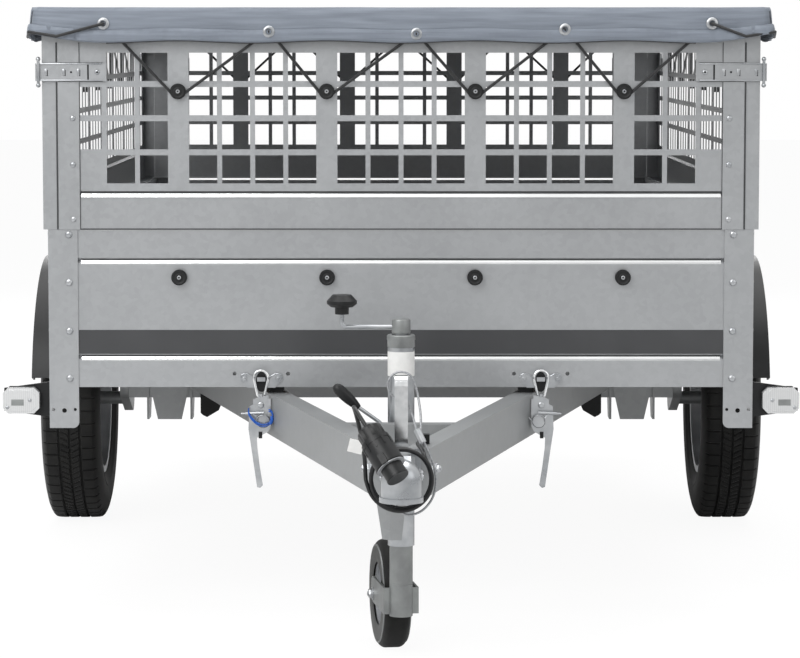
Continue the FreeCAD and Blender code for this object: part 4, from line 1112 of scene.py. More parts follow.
@dataclass
class NoseHardware:
    """Small parts at the coupling, the jockey wheel and its clamp; places in metres."""

    leg_y: float = -1.110
    trail: float = 0.128
    yaw: float = 9.0
    hub_height: float = 0.1
    axle_half: float = 0.0324
    grip: Route = ((-0.079, -1.116, 0.462), (-0.111, -1.120, 0.492))
    plug_axis: Route = ((-0.0563, -1.6873, 0.4948), (-0.0047, -1.7379, 0.4186))
    plug_ridges: int = 10
    flag: Place = (-0.0745, -1.6085, 0.453)
    flag_lean: float = 14.0
    weld_inset: float = 0.004
    weld_step: float = 0.0075
    tip_weld: Outline = ((0.0085, 0.002), (0.0105, 0.034))
    drop_pitch: float = 0.0028
    drop_radius: float = 0.0026
    drop_swell: float = 0.12
    drop_rate: float = 2.3
    drop_flat: float = 0.8

    def build(self) -> None:
        """Makes all of them."""
        self.fit_nuts()
        self.fit_jockey_nuts()
        self.cover_grip()
        self.finish_plug()
        self.wrap_labels()
        self.lay_welds()
        self.cap_tube()
        self.dish_wheel()

    def fit_nuts(self) -> None:
        """Bolts the coupling to the beams, and the clamp to the cross beam."""
        small = HexNut(6.5, 5.0)
        rows = (
            (HexNut(9.5, 8.0), (0.0516, -1.490, 0.401), (0.97, -0.243, 0.0)),
            (HexNut(7.0, 7.0), (0.0590, -1.4918, 0.401), (0.97, -0.243, 0.0)),
            (small, (0.0476, -1.1712, 0.409), (0.0, -1.0, 0.0)),
            (small, (0.0302, -1.545, 0.400), (1.0, 0.0, 0.0)),
            (small, (0.0302, -1.655, 0.409), (1.0, 0.0, 0.0)),
        )
        shape = bmesh.new()
        for side in SIDES:
            for nut, place, way in rows:
                nut.drive(shape, (side * place[0], *place[1:]), (side * way[0], *way[1:]))
        piece("nose_nuts", shape, ZINC_PLATED, Body.CHASSIS)

    def axle(self, side: int) -> tuple[Vector, Vector]:
        """Finds the jockey wheel's axle.

        Args:
            side: -1 left, 1 right.

        Returns:
            The middle of the wheel and the way along the axle to that side.
        """
        turn = math.radians(self.yaw)
        back = self.leg_y + self.trail * math.cos(turn)
        middle = Vector((-self.trail * math.sin(turn), back, self.hub_height))
        return middle, Vector((math.cos(turn), math.sin(turn), 0.0)) * side

    def fit_jockey_nuts(self) -> None:
        """Puts nuts on both ends of the jockey wheel's axle."""
        nut = HexNut(9.0, 8.0)
        shape = bmesh.new()
        for side in SIDES:
            middle, way = self.axle(side)
            nut.drive(shape, middle + way * self.axle_half, way)
        piece("axle_nuts", shape, ZINC_PLATED, Body.CASTER)

    def cover_grip(self) -> None:
        """Slides the moulded grip over the end of the clamp lever."""
        start, end = (Vector(place) for place in self.grip)
        outline = (
            (4.0, -4.0), (5.4, -4.0), (6.6, 0.0), (8.4, 8.0), (9.9, 17.0), (10.6, 27.0), (10.7, 37.0),
            (10.3, 45.0), (9.0, 50.0), (6.6, 54.0), (3.4, 56.0), (0.0, 56.6),
        )
        shape = bmesh.new()
        lathe(shape, outline, aim(start, end - start), 32)
        piece("lever_grip", shape, BLACK_PLASTIC, Body.CHASSIS)

    def finish_plug(self) -> None:
        """Adds the plug's gland nut, grip ridges, bands, catch and pale seal."""
        start, end = (Vector(place) for place in self.plug_axis)
        matrix = aim(start, (end - start).normalized())
        shape = bmesh.new()
        nut = ((9.2, 5.5), (19.6, 5.5), (22.2, 9.0), (22.2, 27.0), (21.0, 28.8), (9.2, 28.8))
        lathe(shape, nut, matrix, 6)
        for k in range(self.plug_ridges):
            frame = matrix @ Matrix.Rotation(TURN * k / self.plug_ridges, 4, "Z")
            brick(shape, frame @ Matrix.Translation((24.6 * MM, 0.0, 41.0 * MM)), (1.6, 3.4, 16.0))
        for low, high, reach in ((36.0, 38.0, 25.3), (76.5, 79.8, 25.4), (100.5, 104.6, 19.2)):
            band = ((18.0, low), (reach, low + 0.6), (reach, high - 0.6), (18.0, high))
            lathe(shape, band, matrix, 48)
        frame = matrix @ Matrix.Rotation(math.radians(150), 4, "Z")
        brick(shape, frame @ Matrix.Translation((25.0 * MM, 0.0, 72.0 * MM)), (6.0, 11.0, 18.0))
        piece("plug_nut_and_catch", shape, BLACK_PLASTIC, Body.CHASSIS)
        seal = bmesh.new()
        lathe(seal, ((18.4, 80.9), (24.9, 80.9), (24.9, 82.3), (18.4, 82.3)), matrix, 48)
        piece("plug_seal", seal, COATED_WIRE, Body.CHASSIS)

    def wrap_labels(self) -> None:
        """Sticks the blank labels round the jockey tube and on the cable."""
        shape = bmesh.new()
        band = ((24.05, 517.0), (24.25, 517.0), (24.25, 561.0), (24.05, 561.0))
        lathe(shape, band, Matrix.Translation((0.0, self.leg_y, 0.0)), 48)
        piece("tube_label", shape, LABEL, Body.CHASSIS)
        flag = bmesh.new()
        frame = Matrix.Translation(self.flag) @ Matrix.Rotation(math.radians(self.flag_lean), 4, "Y")
        brick(flag, frame, (24.0, 0.5, 22.0))
        piece("cable_label", flag, LABEL, Body.CHASSIS)

    def lay_welds(self) -> None:
        """Runs weld beads where the cross beam meets the drawbar, and on the drawbar's tip."""
        shape = bmesh.new()
        low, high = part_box("drawbar_cross")
        base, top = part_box("drawbar_right")
        for side in SIDES:
            for y, inset in ((low[1], self.weld_step), (high[1], 0.0)):
                x = side * (high[0] - inset)
                self.bead(shape, (x, y, low[2] + self.weld_inset), (x, y, high[2] - self.weld_inset))
        for side in SIDES:
            self.bead(shape, *((side * x, base[1] + back, top[2]) for x, back in self.tip_weld))
        piece("welds", shape, WELD, Body.CHASSIS)

    def bead(self, shape: Form, start: Place, end: Place) -> None:
        """Lays one bead of overlapping drops.

        Args:
            shape: Mesh that takes the bead.
            start: First end, in metres.
            end: Other end.
        """
        run = Vector(end) - Vector(start)
        count = max(2, round(run.length / self.drop_pitch))
        for k in range(count):
            swell = 1.0 + self.drop_swell * math.sin(k * self.drop_rate)
            matrix = Matrix.Translation(Vector(start) + run * (k / (count - 1)))
            matrix = matrix @ Matrix.Diagonal((swell, swell, self.drop_flat, 1.0))
            bmesh.ops.create_icosphere(shape, subdivisions=1, radius=self.drop_radius, matrix=matrix)

    def cap_tube(self) -> None:
        """Turns the bead of the tube's cap and the crank's sleeve."""
        shape = bmesh.new()
        matrix = Matrix.Translation((0.0, self.leg_y, 0.0))
        bead = (
            (24.0, 568.0), (24.7, 569.0), (24.7, 580.0), (25.6, 582.0), (25.6, 588.5), (23.8, 590.6),
            (17.0, 590.8),
        )
        sleeve = (
            (14.0, 592.5), (16.4, 593.2), (16.8, 595.0), (16.8, 616.0), (16.0, 618.2), (14.0, 619.0),
            (0.0, 619.2),
        )
        lathe(shape, bead, matrix, 48)
        lathe(shape, sleeve, matrix, 40)
        piece("tube_cap", shape, DULL_STEEL, Body.CHASSIS)

    def dish_wheel(self) -> None:
        """Faces both sides of the jockey wheel with its centre, dark grey partly as painted shade of the
        dish, and a pale lip.
        """
        centre, lips = bmesh.new(), bmesh.new()
        disc = ((88.0, 23.6), (88.0, 25.5), (86.0, 25.5), (72.0, 25.3), (60.0, 25.3), (57.0, 23.6))
        lip = ((91.5, 22.0), (91.3, 25.2), (90.2, 25.9), (88.6, 25.9), (87.9, 25.2), (87.9, 22.0))
        for side in SIDES:
            matrix = aim(*self.axle(side))
            lathe(centre, disc, matrix, 64)
            lathe(lips, lip, matrix, 64)
        piece("jockey_wheel_centre", centre, WHEEL_CENTRE_AND_SHADE, Body.ROLLER)
        piece("jockey_wheel_lips", lips, DULL_STEEL, Body.ROLLER)


@dataclass
class ReleaseTrim:
    """Screws, coated rings, linch pins and strap of the two tip releases, in metres."""

    middle: float = 0.2701
    plate_face: float = -0.6756
    lever_face: float = -0.7022
    rivet_z: float = 0.416
    screw_z: float = 0.4655
    screw_reach: float = 0.033
    boss_shift: float = 0.0047
    boss_z: float = 0.3846
    boss_proud: float = 0.002
    gap_proud: float = 0.0019
    ring_y: float = -0.6919
    ring_mm: Outline = ((14.0, 468.3), (7.0, 436.7))
    ring_points: int = 13
    ring_coat: float = 0.0026
    pin_proud: float = 0.007
    pin_line: Outline = ((0.264, 0.402), (0.300, 0.4005), (0.308, 0.4002))
    pin_radii: Pair = (0.0032, 0.0022)
    loop: Place = (0.2655, 0.386, 0.0125)
    loop_points: int = 9
    loop_start: Route = ((0.288, 0.0, 0.4), (0.276, 0.004, 0.3965))
    loop_end: Route = ((0.2445, 0.002, 0.396),)
    loop_proud: float = 0.005
    loop_wire: float = 0.0009
    strap_proud: float = 0.012
    strap_line: Outline = (
        (0.2925, 0.4085), (0.2945, 0.4015), (0.2885, 0.391), (0.2785, 0.3805), (0.2665, 0.3755),
        (0.2565, 0.378), (0.2485, 0.384), (0.2462, 0.3925), (0.2475, 0.4), (0.2515, 0.4065),
        (0.2545, 0.4045),
    )
    strap_shift: float = 0.0036
    strap_cord: float = 0.0014
    knot_proud: float = 0.014
    knot_cord: float = 0.0034
    knot_line: Outline = ((0.252, 0.3815), (0.2465, 0.3885), (0.2485, 0.397))
    catch_edge: Outline = (
        (0.013, 0.4660), (0.020, 0.4702), (0.0265, 0.4738), (0.033, 0.4742), (0.038, 0.4722),
        (0.0405, 0.4665),
    )
    edge_radius: float = 0.0011
    hollow_z: float = 0.4585
    hollow_proud: float = 0.0003
    hollow_scale: Place = (0.72, 1.0, 1.3)
    rest_shift: float = 0.0012
    rest_y: float = -0.6985
    rest_ends: Pair = (0.364, 0.3515)
    rest_radius: float = 0.0036

    def build(self) -> None:
        """Makes the trim of both releases; the strap hangs on the left one."""
        for side in SIDES:
            self.coat_ring(side)
        self.drive_screws()
        for side in SIDES:
            self.hang_pin(side)
        self.tie_strap(-1)
        self.shade_catches()

    def boss(self, side: int, proud: float) -> Matrix:
        """Gives the frame of a lever's lower boss, forward of the lever by some way."""
        return aim((side * (self.middle - self.boss_shift), self.lever_face - proud, self.boss_z), FRONT)

    def drive_screws(self) -> None:
        """Sets the levers' rivets and bosses, and the screws of the catch plates."""
        screw, rivet = HexNut(6.0, 4.0), Fastener(6.0, 1.4, 20)
        heads, screws = bmesh.new(), bmesh.new()
        for side in SIDES:
            rivet.drive(heads, (side * self.middle, self.lever_face, self.rivet_z), FRONT)
            boss = ((11.5, 0.0), (11.5, 2.0), (0.0, 2.6))
            lathe(heads, boss, self.boss(side, self.boss_proud), 28)
            for reach in (-self.screw_reach, self.screw_reach):
                screw.drive(screws, (side * self.middle + reach, self.plate_face, self.screw_z), FRONT)
        piece("release_screws", heads, ZINC_PLATED, Body.CHASSIS)
        piece("catch_screws", screws, ZINC_PLATED, Body.BED)

    def coat_ring(self, side: int) -> None:
        """Rolls the bright coat on one release ring, a wide arc above and a narrow one below.

        Args:
            side: -1 left, 1 right.
        """
        (wide, top), (narrow, bottom) = self.ring_mm
        lean = math.asin((wide - narrow) / (top - bottom))
        arcs = ((wide, top, -lean, math.pi + lean), (narrow, bottom, math.pi + lean, TURN - lean))
        points = []
        for radius, height, start, end in arcs:
            for k in range(self.ring_points):
                angle = start + (end - start) * k / (self.ring_points - 1)
                x = side * self.middle + radius * math.cos(angle) * MM
                points.append((x, self.ring_y, (height + radius * math.sin(angle)) * MM))
        points.append(points[0])
        wire(f"ring_coat_{hand(side)}", [points], self.ring_coat, POLISHED, Body.CHASSIS, 2)

    def hang_pin(self, side: int) -> None:
        """Puts one linch pin through the lever, with its sprung ring.

        Args:
            side: -1 left, 1 right.
        """
        y = self.lever_face - self.pin_proud
        line = [(side * x, y, z) for x, z in self.pin_line]
        shape = bmesh.new()
        for start, end, radius in zip(line, line[1:], self.pin_radii):
            bar(shape, start, end, radius)
        piece(f"linch_pin_{hand(side)}", shape, ZINC_PLATED, Body.CHASSIS)
        middle_x, middle_z, reach = self.loop
        arc = []
        for k in range(self.loop_points):
            angle = math.radians(200 - 220 * k / (self.loop_points - 1))
            x, z = middle_x - reach * math.cos(angle), middle_z + reach * math.sin(angle)
            arc.append((x, self.loop_proud, z))
        route = [(side * x, y - out, z) for x, out, z in (*self.loop_start, *arc, *self.loop_end)]
        wire(f"pin_ring_{hand(side)}", [route], self.loop_wire, ZINC_PLATED, Body.CHASSIS)

    def tie_strap(self, side: int) -> None:
        """Hangs the blue strap below one pin, two cords and a knot.

        Args:
            side: -1 left, 1 right.
        """
        y = self.lever_face - self.strap_proud
        for index, shift in enumerate((0.0, self.strap_shift)):
            points = [(side * x, y - shift * 0.4, z + shift) for x, z in self.strap_line]
            wire(f"pin_strap_{index}", [points], self.strap_cord, BLUE_NYLON, Body.CHASSIS)
        knot = [(side * x, self.lever_face - self.knot_proud, z) for x, z in self.knot_line]
        wire("pin_strap_knot", [knot], self.knot_cord, BLUE_NYLON, Body.CHASSIS)

    def shade_catches(self) -> None:
        """Edges the catch plates, lays a dark oval as painted shade of the hollow behind each ring, rings
        each lever's boss with a painted shadow gap, and sets the lower rests.
        """
        rims, dark, rests, gaps = (bmesh.new() for _ in range(4))
        for side in SIDES:
            middle = side * self.middle
            for way in SIDES:
                edge = [(middle + way * reach, self.plate_face, z) for reach, z in self.catch_edge]
                for start, end in zip(edge, edge[1:]):
                    bar(rims, start, end, self.edge_radius, 8)
            # Dark oval behind the ring: painted shade of the hollow.
            oval = Matrix.Translation((middle, self.plate_face - self.hollow_proud, self.hollow_z))
            oval = oval @ Matrix.Diagonal((*self.hollow_scale, 1.0)) @ aim((0, 0, 0), FRONT)
            lathe(dark, ((0.0, 0.0), (15.0, 0.0), (15.0, 1.2), (0.0, 1.2)), oval, 28)
            # Thin dark ring round the boss: painted shadow of the gap.
            ring = ((11.4, 0.0), (12.6, 0.0), (12.6, 0.8), (11.4, 0.8))
            lathe(gaps, ring, self.boss(side, self.gap_proud), 28)
            top, foot = ((middle + side * self.rest_shift, self.rest_y, z) for z in self.rest_ends)
            bar(rests, top, foot, self.rest_radius)
        piece("boss_gap_shadows", gaps, PAINTED_SHADE, Body.CHASSIS)
        piece("catch_edges", rims, ZINC_PLATED, Body.BED)
        piece("catch_hollow_shadows", dark, BLACK_RUBBER, Body.BED)
        piece("lever_rests", rests, BLACK_RUBBER, Body.CHASSIS)


@dataclass
class LampTrim:
    """Screws, reflector block and edge of the position lamps, and frames of the tail lamps."""

    screws: Outline = ((0.7593, 0.411), (0.716, 0.425))
    screw_sink: float = 0.0006
    block: Outline = ((0.7396, 0.012), (0.4205, 0.006))
    block_depth: Pair = (0.0009, 0.0001)
    block_edge: float = 0.0003
    plateau: Outline = ((0.7345, 0.0315), (0.424, 0.0215))
    base: Outline = ((0.733, 0.0364), (0.424, 0.0263))
    base_y: float = -0.6727
    tail_ends: Pair = (0.430, 0.570)
    tail_parting: float = 0.522
    parting_half: float = 0.0012
    tail_proud: float = 0.0012
    frame_depth: float = 0.02
    frame_width: float = 0.003
    frame_over: Pair = (0.002, 0.001)

    def build(self) -> None:
        """Makes the trim of all four lamps."""
        face = face_of("marker_lamps", -1)
        screw = Fastener(3.6, 1.6, 20)
        heads, blocks = bmesh.new(), bmesh.new()
        (block_x, half), (block_z, rise) = self.block
        near, far = (face - depth for depth in self.block_depth)
        for side in SIDES:
            for x, z in self.screws:
                screw.drive(heads, (side * x, face - self.screw_sink, z), FRONT)
            corner = (side * block_x - half, near, block_z - rise)
            slab(blocks, corner, (side * block_x + half, far, block_z + rise), self.block_edge)
        piece("lamp_screws", heads, ZINC_PLATED, Body.BED)
        piece("lamp_reflectors", blocks, DULL_STEEL, Body.BED)
        self.raise_plates("lens_plateau", face, self.plateau, 0.0095, 0.0006, 0.95, CLEAR_LENS)
        self.raise_plates("lens_bases", self.base_y, self.base, 0.0125, 0.0073, 1.0, BLACK_RUBBER)
        self.frame_tail_lamps()

    def raise_plates(
        self, name: str, y: float, area: Outline, cut: float, depth: float, taper: float, finish: Finish
    ) -> None:
        """Raises one oblong plate with cut corners on each position lamp.

        Args:
            name: Name of the piece.
            y: Plane of its back.
            area: Middle and half width, middle and half height.
            cut: Length cut off each corner.
            depth: Its height forward.
            taper: Size of its front against its back.
            finish: Its finish.
        """
        (x, wide), (z, tall) = area
        half = [(wide - cut, -tall), (wide, cut - tall), (wide, tall - cut), (wide - cut, tall)]
        whole = half + [(-across, -rise) for across, rise in half]
        shape = bmesh.new()
        for side in SIDES:
            corners = [Vector((side * x + across, y, z + rise)) for across, rise in whole]
            prism(shape, corners, FRONT * depth, taper)
        piece(name, shape, finish, Body.BED, 20.0)

    def frame_tail_lamps(self) -> None:
        """Frames the tail lamps and parts their two fields by a bar."""
        low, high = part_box("rear_lamps")
        back, proud = high[1] - self.frame_depth, high[1] + self.tail_proud
        wide, (over, under) = self.frame_width, self.frame_over
        shape = bmesh.new()
        for side in SIDES:
            left, right = sorted(side * x for x in self.tail_ends)
            for x in (left - over, right - under):
                slab(shape, (x, back, low[2] - over), (x + wide, proud, high[2] + over))
            for z in (low[2] - over, high[2] - under):
                slab(shape, (left, back, z), (right, proud, z + wide))
            x, half = side * self.tail_parting, self.parting_half
            slab(shape, (x - half, high[1] - over, low[2]), (x + half, proud, high[2]))
        piece("tail_lamp_frames", shape, BLACK_PLASTIC, Body.BED)


@dataclass
class ButtonTrim:
    """Pressed ring and steel rivet on the head of every cord button."""

    upper: float = 1.0186
    lower: float = 0.661
    pitch: float = 0.285
    lower_sink: float = 0.0025
    rim_mm: Outline = (
        (13.4, -1.0), (14.2, 0.2), (13.6, 1.2), (11.6, 1.3), (10.6, 0.5), (7.4, 0.4), (6.4, 1.0),
        (5.0, 1.0), (4.4, -0.4),
    )
    dot_mm: Outline = ((3.9, -0.4), (3.9, 0.8), (3.0, 1.5), (1.8, 1.4), (1.6, -0.4))

    def build(self) -> None:
        """Makes rings and rivets of the four walls."""
        rings, dots = bmesh.new(), bmesh.new()
        for place, way in self.places():
            matrix = aim(place, way)
            lathe(rings, self.rim_mm, matrix, 32)
            lathe(dots, self.dot_mm, matrix, 20)
        piece("button_rims", rings, BLACK_RUBBER, Body.BED)
        piece("button_rivets", dots, ZINC_PLATED, Body.BED)

    def places(self) -> list[tuple[Place, Place]]:
        """Finds the buttons.

        Returns:
            The middle of each button's head and its outward direction.
        """
        low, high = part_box("cord_buttons")
        centre = (low[1] + high[1]) / 2
        found = []
        for k in range(4):
            x = (k - 1.5) * self.pitch
            found.append(((x, low[1], self.upper), (0, -1, 0)))
            found.append(((x, low[1] + self.lower_sink, self.lower), (0, -1, 0)))
            found.append(((x, high[1], self.upper), (0, 1, 0)))
        for k in range(7):
            y = centre + (k - 3) * self.pitch
            found += [((side * high[0], y, self.upper), (side, 0, 0)) for side in SIDES]
        return found


@dataclass
class LatchTrim:
    """Folded edges, ribs, holes, rivets and painted shade strips of the straps that close the mesh corners,
    in metres.
    """

    fold_ends: Pair = (0.572, 0.699)
    fold_height: float = 0.0025
    fold_edge: float = 0.0006
    metal_depth: Pair = (-0.001, 0.0018)
    shade_strip_depth: Pair = (-0.0005, 0.0002)
    shade_depth: Pair = (-0.0035, -0.0028)
    ribs: tuple[float, ...] = (0.680, 0.646, 0.618)
    rib_half: float = 0.0024
    rib_edge: float = 0.0007
    rib_inset: Pair = (0.011, 0.0105)
    rib_shade_shift: Pair = (0.0016, 0.0036)
    rib_shade_inset: Pair = (0.0095, 0.013)
    step_x: float = 0.5995
    step_half: float = 0.0016
    rivet_x: float = 0.582
    rivet_crown: float = 0.0021
    hole_x: float = 0.632
    shade_end: float = 0.657
    shade_places: Pair = (0.0011, 0.0001)
    shade_height: float = 0.001
    hasp_x: float = 0.6945
    hasp_out: float = 0.0032
    hasp_radius: float = 0.0028
    hasp_reach: float = 0.006
    ball_radius: float = 0.0045
    ball_reach: float = 0.008

    def build(self) -> None:
        """Makes the trim of the four straps."""
        metal, dark = bmesh.new(), bmesh.new()
        for side in SIDES:
            for way in SIDES:
                self.dress_strap(metal, dark, side, way)
        piece("latch_straps", metal, ZINC_PLATED, Body.BED)
        piece("latch_holes_and_shade", dark, BLACK_PLASTIC, Body.BED)

    def dress_strap(self, metal: Form, dark: Form, side: int, way: int) -> None:
        """Dresses one strap.

        Args:
            metal: Mesh that takes the metal.
            dark: Mesh that takes the holes and the painted shade strips.
            side: -1 left, 1 right.
            way: -1 front, 1 back.
        """
        low, high = (corner[2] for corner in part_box("mesh_latches"))
        face = face_of("mesh_latches", way)
        middle = (low + high) / 2

        def spot(x: float, out: float, z: float) -> Place:
            """Gives a place by its distance from the middle and out of the strap's face."""
            return (side * x, face + way * out, z)

        def plate(shape: Form, ends: Pair, depth: Pair, rows: Pair, edge: float = 0.0) -> None:
            """Adds a block between two places each across, out of the face and up."""
            slab(shape, *(spot(*corner) for corner in zip(ends, depth, rows)), edge)

        fold = self.fold_height
        for z in (low, high - fold):
            plate(metal, self.fold_ends, self.metal_depth, (z, z + fold), self.fold_edge)
        for x in self.ribs:
            rows = (low + self.rib_inset[0], high - self.rib_inset[1])
            ends = (x - self.rib_half, x + self.rib_half)
            plate(metal, ends, self.metal_depth, rows, self.rib_edge)
            # Dark strip beside each rib, always on its right: painted shadow.
            rows = (low + self.rib_shade_inset[0], high - self.rib_shade_inset[1])
            near, far = self.rib_shade_shift
            plate(dark, (x + side * near, x + side * far), self.shade_strip_depth, rows)
        # Dark line down the step: painted shade.
        ends = (self.step_x - self.step_half, self.step_x + self.step_half)
        plate(dark, ends, self.shade_strip_depth, (low + fold, high - fold))
        Fastener(5.0, 2.2, 16).drive(metal, spot(self.rivet_x, 0.0, middle), (0, way, 0))
        for x, out in ((self.rivet_x, self.rivet_crown), (self.hole_x, 0.0)):
            disc = ((0.0, 0.0), (2.1, 0.0), (1.9, 0.3), (0.0, 0.4))
            lathe(dark, disc, aim(spot(x, out, middle), (0, way, 0)), 14)
        for z in (low - self.shade_places[0], high + self.shade_places[1]):
            ends = (self.fold_ends[0], self.shade_end)
            plate(dark, ends, self.shade_depth, (z, z + self.shade_height))
        for z in (low - self.ball_reach, high + self.ball_reach):
            matrix = Matrix.Translation(spot(self.hasp_x, self.hasp_out, z))
            bmesh.ops.create_uvsphere(
                metal, u_segments=12, v_segments=8, radius=self.ball_radius, matrix=matrix
            )
        rows = (low - self.hasp_reach, high + self.hasp_reach)
        bar(metal, *(spot(self.hasp_x, self.hasp_out, z) for z in rows), self.hasp_radius)


@dataclass
class TailTrim:
    """Bolts of the tailgate's hinges and latches, in metres."""

    hinge_bolts: Pair = (0.384, 0.416)
    leaf_sink: float = 0.0092
    leaf_z: float = 0.512
    strap_z: float = 0.415
    latch_x: float = 0.567
    latch_bolts: Pair = (0.664, 0.712)
    handle: Outline = ((0.567, 0.688), (0.585, 0.672))
    handle_proud: float = 0.006
    handle_radius: float = 0.004

    def build(self) -> None:
        """Makes the trim of the tail."""
        bolt = Fastener(5.5, 3.0)
        fixed, moving = bmesh.new(), bmesh.new()
        leaf = face_of("tailgate_leaves", 1) - self.leaf_sink
        latch = face_of("tailgate_latches", 1)
        for side in SIDES:
            for x in self.hinge_bolts:
                bolt.drive(moving, (side * x, leaf, self.leaf_z), (0, 1, 0))
                bolt.drive(fixed, (side * x, leaf, self.strap_z), (0, 1, 0))
            for z in self.latch_bolts:
                bolt.drive(moving, (side * self.latch_x, latch, z), (0, 1, 0))
            ends = ((side * x, latch + self.handle_proud, z) for x, z in self.handle)
            bar(moving, *ends, self.handle_radius)
        piece("tail_hinge_bolts", fixed, ZINC_PLATED, Body.BED)
        piece("tailgate_bolts", moving, ZINC_PLATED, Body.TAILGATE)


# Wheels


def wheel_of(side: int) -> Body:
    """Gives the body of a side's road wheel."""
    return Body.LEFT_WHEEL if side < 0 else Body.RIGHT_WHEEL


@dataclass
class RoadTyre:
    """Radial road tyre with three grooves and sipes, turned about the wheel's axis, in metres."""

    side: int
    radius: float = 0.281
    steps: int = 720
    groove_depth: float = 0.0065
    groove_slack: float = 0.0002
    sipe_depth: float = 0.0042
    rib_pitch: int = 6
    rib_edge: float = 0.022
    rib_stagger: float = 0.0044
    shoulder_pitch: int = 12
    shoulder_shift: int = 5
    shoulder_foot: float = 0.2745
    tread_half: float = 0.045
    wall: Outline = (
        (0.0520, 0.1652), (0.0521, 0.1765), (0.0560, 0.1800), (0.0602, 0.1890), (0.0640, 0.2010),
        (0.0648, 0.2020), (0.0656, 0.2060), (0.0650, 0.2070), (0.0668, 0.2180), (0.0675, 0.2320),
        (0.0670, 0.2420), (0.0655, 0.2500), (0.0640, 0.2560), (0.0622, 0.2630), (0.0592, 0.2700),
        (0.0560, 0.2752), (0.0520, 0.2790),
    )
    tread: Outline = (
        (0.0470, 0.0008), (0.0405, 0.0003), (0.0340, 0.0001), (0.0274, 0.0), (0.0265, 0.0065),
        (0.0217, 0.0065), (0.0208, 0.0), (0.0165, 0.0), (0.0120, 0.0), (0.0075, 0.0), (0.0032, 0.0),
        (0.0024, 0.0065),
    )

    def section(self) -> list[tuple[float, float]]:
        """Gives the closed section as (radius, offset), bead to bead over the crown."""
        tread = [(offset, self.radius - depth) for offset, depth in self.tread]
        half = [(radius, offset) for offset, radius in (*self.wall, *tread)]
        groove = (self.radius - self.groove_depth, 0.0)
        return [*half, groove, *((radius, -offset) for radius, offset in reversed(half)), half[0]]

    def build(self) -> None:
        """Makes the tyre and lets it stand for the plain CAD ring."""
        node = f"tyre_{hand(self.side)}"
        low, high = (Vector(corner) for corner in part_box(node))
        shape = bmesh.new()
        lathe(shape, self.section(), Matrix(), self.steps, 1.0)
        self.cut_sipes(shape)
        bmesh.ops.transform(shape, matrix=aim((low + high) / 2, (1, 0, 0)), verts=shape.verts)
        made = piece(f"road_{node}", shape, TYRE_RUBBER, wheel_of(self.side), 30.0)
        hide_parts(node)

    def cut_sipes(self, shape: Form) -> None:
        """Presses narrow cross cuts into the ribs, staggered from rib to rib.

        Args:
            shape: The turned tyre, its axis along local Z.
        """
        bottom = self.radius - self.groove_depth + self.groove_slack
        for vert in shape.verts:
            reach = math.hypot(vert.co.x, vert.co.y)
            across = abs(vert.co.z)
            if reach < self.shoulder_foot or (reach < bottom and across < self.tread_half):
                continue
            index = round(math.atan2(vert.co.y, vert.co.x) / TURN * self.steps)
            if across < self.rib_edge:
                cut = (index + round(across / self.rib_stagger)) % self.rib_pitch == 0
            else:
                shift = self.shoulder_shift if vert.co.z < 0 else 0
                cut = (index + shift) % self.shoulder_pitch == 0
            if cut:
                vert.co.xy *= (reach - self.sipe_depth) / reach


@dataclass
class WheelTrim:
    """Valve of one steel wheel, in metres."""

    side: int
    root: Place = (0.048, 0.1, 0.105)
    run: Place = (0.032, -0.008, -0.008)
    radius: float = 0.004

    def build(self) -> None:
        """Sets the rubber valve through the wheel's dish."""
        low, high = (Vector(corner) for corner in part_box(f"rim_{hand(self.side)}"))
        middle = (low + high) / 2
        outer = high.x if self.side > 0 else low.x
        inset, back, up = self.root
        start = Vector((outer - self.side * inset, middle.y + back, middle.z + up))
        shape = bmesh.new()
        out, *rest = self.run
        bar(shape, start, start + Vector((self.side * out, *rest)), self.radius, 12)
        piece(f"valve_{hand(self.side)}", shape, BLACK_RUBBER, wheel_of(self.side))


# Cover


